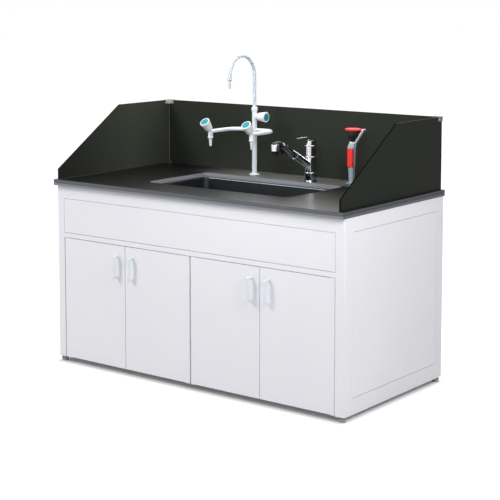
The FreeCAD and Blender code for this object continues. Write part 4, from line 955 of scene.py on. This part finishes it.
def addSpray(look):
    root = Vector(look["root"])
    direction = Vector(look["direction"])
    below = Vector(look["below"])
    crown = Vector(look["crown"])
    chrome = materials["mixer_chrome"]
    dark = materials["spray_black"]
    seam = root + direction * look["seam"]
    turnedPiece(seam, direction, look["wandProfile"], segments=40)
    wand = finishPiece("sprayWand", "spray_head", "mixer_chrome", chrome, angle=40)
    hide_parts("spray_head")
    tip = seam + direction * look["elbowStart"]
    rise = tip + direction * look["elbowRise"]
    over = crown + Vector(look["elbowOver"])
    sweptPiece([tip, rise, over, crown + Vector(look["elbowEnd"])], look["elbowRadii"])
    finishPiece("sprayElbow", "spray_head", "cup_black", dark, angle=50)
    turnedPiece(crown, (0, 0, -1), look["headProfile"], segments=40)
    finishPiece("sprayBand", "spray_head", "mixer_chrome", materials["band_chrome"], angle=40)
    turnedPiece(crown, (0, 0, -1), look["domeProfile"], segments=40)
    finishPiece("sprayDome", "spray_head", "cup_black", dark, angle=50)
    turnedPiece(crown, (0, 0, -1), look["faceProfile"], segments=40)
    finishPiece("sprayFace", "spray_head", "cup_black", dark, angle=40)
    addNubs(crown - Vector((0, 0, look["nubDrop"])), look)
    addToggle(root, direction, below, look, dark)
    stud = root + direction * look["studAlong"] + below * look["studDrop"]
    turnedPiece(stud, below, look["studProfile"], segments=20)
    finishPiece("sprayStud", "spray_head", "mixer_chrome", chrome, angle=60)


def addNubs(centre, look):
    # soft nubs that the water leaves by
    nubs = []
    for ring, count in look["nubRings"]:
        for index in range(count):
            angle = 2 * math.pi * index / count
            place = centre + Vector((ring * math.cos(angle), ring * math.sin(angle), 0))
            turnedPiece(place, (0, 0, -1), look["nubProfile"], segments=8)
            nubs.append(closeMesh())
    joinPieces(nubs)
    finishPiece("sprayNubs", "spray_head", "rose_grey", materials["rose_grey"])


def addToggle(root, direction, below, look, material):
    toggle = root + direction * look["toggleAlong"] + below * look["toggleSize"][2] / 2
    pad = root + direction * look["padAlong"] + below * look["padDrop"]
    side = below.cross(direction)
    turn = Matrix((side, direction, below)).transposed().to_euler()
    for name, place, part in (("sprayToggle", toggle, "toggle"), ("sprayPad", pad, "pad")):
        bpy.ops.mesh.primitive_cube_add(size=1, location=place, rotation=turn)
        bpy.ops.transform.resize(value=look[part + "Size"], orient_type="LOCAL")
        bpy.ops.object.transform_apply(location=False, rotation=False, scale=True)
        openMesh()
        bpy.ops.mesh.bevel(offset=look[part + "Corner"], segments=4)
        finishPiece(name, "spray_head", "cup_black", material, angle=50)


addSpray(spray)
print("spray head built")

# Tap: a smooth bent tube and turned nozzles take the place of the coarser solids
tap = {
    "tubeRadius": 0.0083,
    "bend": 0.0875,
    "limbTop": 1.241,
    "footHeight": 1.063,
    "tipHeight": 1.236,
    "limbShares": (0.5, 0.9),
    "bendSteps": 20,
    "collarGap": 0.0005,
    "collarProfile": [
        (0.0, 0.0086), (0.0, 0.0094), (0.0005, 0.0098), (0.0025, 0.0098), (0.003, 0.0094),
        (0.003, 0.0084),
    ],
    "nozzleProfile": [
        (0.0001, 0.0076), (0.0016, 0.0102), (0.0042, 0.0118), (0.0088, 0.0119), (0.0118, 0.0104),
        (0.0136, 0.0076), (0.0142, 0.0065), (0.0204, 0.0061), (0.0206, 0.0070), (0.0268, 0.0057),
        (0.0270, 0.0066), (0.0332, 0.0053), (0.0334, 0.0062), (0.0396, 0.0049), (0.0398, 0.0057),
        (0.0450, 0.0046), (0.0459, 0.0038), (0.0459, 0.0025),
    ],
}


def addTube(look):
    foot = middleOf("swivel_nut")
    bend = look["bend"]
    points = [Vector((foot.x, foot.y, look["footHeight"]))]
    for share in look["limbShares"]:
        points.append(points[0].lerp(Vector((foot.x, foot.y, look["limbTop"])), share))
    for step in range(look["bendSteps"] + 1):
        angle = math.pi * step / look["bendSteps"]
        across = bend * (1 - math.cos(angle))
        points.append(Vector((foot.x, foot.y - across, look["limbTop"] + bend * math.sin(angle))))
    points.append(Vector((foot.x, foot.y - 2 * bend, look["tipHeight"])))
    sweptPiece(points, [look["tubeRadius"]] * len(points))
    tube = finishPiece("gooseneckTube", "gooseneck", "tap_white", materials["tap_white"], angle=60)
    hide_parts("gooseneck")
    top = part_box("swivel_nut")[1].z
    turnedPiece((foot.x, foot.y, top + look["collarGap"]), (0, 0, 1), look["collarProfile"], segments=40)
    finishPiece("gooseneckCollar", "gooseneck", "tap_white", materials["tap_white"], angle=40)


def addNozzles(look):
    reach = max(radius for height, radius in look["nozzleProfile"])
    low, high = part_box("side_nozzles")
    middle = middleOf("side_nozzles")
    parts = []
    for x in (low.x + reach, high.x - reach):
        turnedPiece((x, middle.y, high.z), (0, 0, -1), look["nozzleProfile"], segments=28)
        parts.append(closeMesh())
    joinPieces(parts)
    pair = finishPiece("sideNozzlePair", "table", "tap_white", materials["tap_white_lit"], angle=40)
    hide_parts("side_nozzles")
    middle = middleOf("gooseneck_nozzle")
    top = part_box("gooseneck_nozzle")[1].z
    turnedPiece((middle.x, middle.y, top), (0, 0, -1), look["nozzleProfile"], segments=28)
    single = finishPiece("gooseneckTip", "gooseneck", "tap_white", materials["tap_white"], angle=40)
    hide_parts("gooseneck_nozzle")


addTube(tap)
addNozzles(tap)
print("tap tube and nozzles")

# Eyewash: ribs round the dust cap and across the squeeze lever
ribs = {
    "capCount": 40,
    "capSize": (0.0014, 0.0022, 0.0058),
    "gripCount": 8,
    "gripSize": (0.022, 0.0012, 0.0016),
    "gripStep": 0.0088,
    "capSunk": 0.0004,
    "gripRise": 0.007,
    "cornerShare": 0.3,
}


def ribBlock(place, size):
    bpy.ops.mesh.primitive_cube_add(size=1, location=place)
    bpy.ops.transform.resize(value=size)
    bpy.ops.object.transform_apply(location=False, rotation=False, scale=True)
    openMesh()
    bpy.ops.mesh.bevel(offset=min(size) * ribs["cornerShare"], segments=2)
    bpy.ops.mesh.select_all(action="SELECT")


def addRibs(look):
    low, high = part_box("dust_cap")
    radius = (high.y - low.y) / 2
    middle = Vector((low.x + radius, (low.y + high.y) / 2, (low.z + high.z) / 2))
    ribBlock(middle + Vector((radius - look["capSunk"], 0, 0)), look["capSize"])
    count = look["capCount"]
    share = (count - 1) / count
    bpy.ops.mesh.spin(steps=count - 1, dupli=True, angle=2 * math.pi * share, center=middle, axis=(0, 0, 1))
    finishPiece("capRibs", "dust_cap", "signal_red", materials["signal_red"])
    low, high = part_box("squeeze_lever")
    start = Vector(((low.x + high.x) / 2, low.y, low.z + look["gripRise"]))
    ribBlock(start, look["gripSize"])
    row = closeMesh().modifiers.new("row", "ARRAY")
    row.use_relative_offset = False
    row.use_constant_offset = True
    row.constant_offset_displace = (0, 0, look["gripStep"])
    row.count = look["gripCount"]
    finishPiece("gripRibs", "squeeze_lever", "signal_red", materials["signal_red"])


addRibs(ribs)
print("ribs on the eyewash")

# Mixer: turned half-round beads where its parts meet
mixerBeads = {
    "place": (0.179, 0.234),
    "segments": 56,
    "footShare": 0.6,
    "shoulderShare": 0.7,
    "rings": [
        ("baseTop", 0.8405, 0.0277, 0.0022),
        ("bodyLow", 0.909, 0.0277, 0.0022),
        ("bodyHigh", 0.956, 0.0275, 0.0018),
    ],
}


def addMixerBeads(look):
    for name, height, radius, half in look["rings"]:
        slim = radius - half
        foot = (half, slim * look["footShare"])
        shoulder = (half * look["shoulderShare"], slim + half * look["shoulderShare"])
        upper = [shoulder, (half, slim), foot]
        lower = [(-along, across) for along, across in reversed(upper)]
        turnedPiece((*look["place"], height), (0, 0, 1), lower + [(0, radius)] + upper, look["segments"])
        finishPiece("mixerBead_" + name, "table", "mixer_chrome", materials["mixer_chrome"], angle=60)


addMixerBeads(mixerBeads)
print("mixer beads turned")

# Mixer lever: a slim round bar with a soft end lies along the flat blade
leverBar = {
    "start": 0.012,
    "length": 0.0815,
    "drop": 0.0026,
    "radii": [0.0012, 0.0024, 0.0026, 0.0026, 0.0024, 0.0012],
}


def addLeverBar(look):
    hub = middleOf("mixer_hub")
    blade = middleOf("mixer_lever")
    along = Vector((blade.x - hub.x, blade.y - hub.y, 0)).normalized()
    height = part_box("mixer_lever")[1].z - look["drop"]
    last = len(look["radii"]) - 1
    points = []
    for index in range(last + 1):
        reach = look["start"] + (look["length"] - look["start"]) * index / last
        points.append(Vector((hub.x, hub.y, height)) + along * reach)
    sweptPiece(points, look["radii"])
    finishPiece("leverBar", "mixer_lever", "mixer_chrome", materials["mixer_chrome"], angle=60)


addLeverBar(leverBar)
print("mixer lever's bar laid")

# Screws: a low round head with a cross recess, modelled once for each way it faces
doorPlaces = ("far_left", "mid_left", "mid_right", "far_right")
screw = {
    "radius": 0.0034,
    "height": 0.0018,
    "sunk": 0.0002,
    "domeShares": [(0.35, 1), (0.75, 0.82), (1, 0.5)],
    "recess": (0.0038, 0.0009, 0.0012),
    "backColumns": (-0.68, -0.34, 0.0, 0.34, 0.68),
    "backRows": (0.06, 0.41, 0.745),
    "clipDrop": 0.0105,
    "clipInset": 0.026,
    "handleInset": 0.0035,
}


def domeProfile(look):
    # heights and radii of a low round head, from a little below its seat
    height, radius = look["height"], look["radius"]
    dome = [(height * rise, radius * share) for rise, share in look["domeShares"]]
    return [(-look["sunk"], radius)] + dome


def screwHead(direction):
    # the head faces along direction, with its seat at the origin
    direction = Vector(direction)
    turnedPiece((0, 0, 0), direction, domeProfile(screw), segments=20)
    head = closeMesh()
    length, width, depth = screw["recess"]
    for across, up in ((length, width), (width, length)):
        bpy.ops.mesh.primitive_cube_add(size=1, location=direction * screw["height"])
        cutter = bpy.context.active_object
        cutter.scale = (across, up, depth)
        cutter.rotation_euler = direction.to_track_quat("Z", "Y").to_euler()
        bpy.context.view_layer.objects.active = head
        cut = head.modifiers.new("recess", "BOOLEAN")
        cut.operation = "DIFFERENCE"
        cut.object = cutter
        cut.solver = "EXACT"
        bpy.ops.object.modifier_apply(modifier=cut.name)
        bpy.data.objects.remove(cutter)
    bpy.ops.object.select_all(action="DESELECT")
    bpy.context.view_layer.objects.active = head
    head.select_set(True)


def placeScrews(direction, places, label):
    # places holds a body and a point for each screw of one direction
    first = None
    for index, (body, place) in enumerate(places):
        name = "screw_" + label + "_" + str(index)
        if first is None:
            screwHead(direction)
            first = bpy.context.active_object
            first.location = place
            finishPiece(name, body, "fitting_steel", materials["fitting_steel"], angle=30)
            start = Vector(place)
        else:
            copyPiece(first, name, Vector(place) - start, body)


def addScrews():
    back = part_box("back_panel")[1].y
    places = []
    for column in screw["backColumns"]:
        for row in screw["backRows"]:
            places.append(("table", (column, back, row)))
    low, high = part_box("shield_clips")
    row = high.z - screw["clipDrop"]
    inset = screw["clipInset"]
    for side in (-1, 1):
        places.append(("table", (side * (high.x - inset), high.y, row)))
    placeScrews((0, 1, 0), places, "back")
    placeScrews((1, 0, 0), [("table", (high.x, high.y - inset, row))], "clip_right")
    placeScrews((-1, 0, 0), [("table", (low.x, high.y - inset, row))], "clip_left")
    inside = []
    for place in doorPlaces:
        low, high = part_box("handle_" + place)
        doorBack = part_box("door_" + place)[1].y
        for row in (low.z + screw["handleInset"], high.z - screw["handleInset"]):
            inside.append(("door_" + place, ((low.x + high.x) / 2, doorBack, row)))
    placeScrews((0, 1, 0), inside, "handle")


addScrews()
print("screws set")

# Soft buffers inside the doors, which stop them on the floor board
buffer = {
    "radius": 0.004,
    "height": 0.0024,
    "sunk": 0.0002,
    "domeShares": [(0.4, 0.97), (0.8, 0.75), (1, 0.35)],
    "fromEdge": 0.03,
    "rise": 0.0075,
}


def addBuffers(look):
    for place in doorPlaces:
        low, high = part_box("door_" + place)
        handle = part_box("handle_" + place)
        freeLeft = abs(handle[0].x - low.x) < abs(high.x - handle[1].x)
        x = low.x + look["fromEdge"] if freeLeft else high.x - look["fromEdge"]
        turnedPiece((x, high.y, low.z + look["rise"]), (0, 1, 0), domeProfile(look), segments=20)
        finishPiece("buffer_" + place, "door_" + place, "rose_grey", materials["buffer_clear"], angle=60)


addBuffers(buffer)
print("door buffers set")
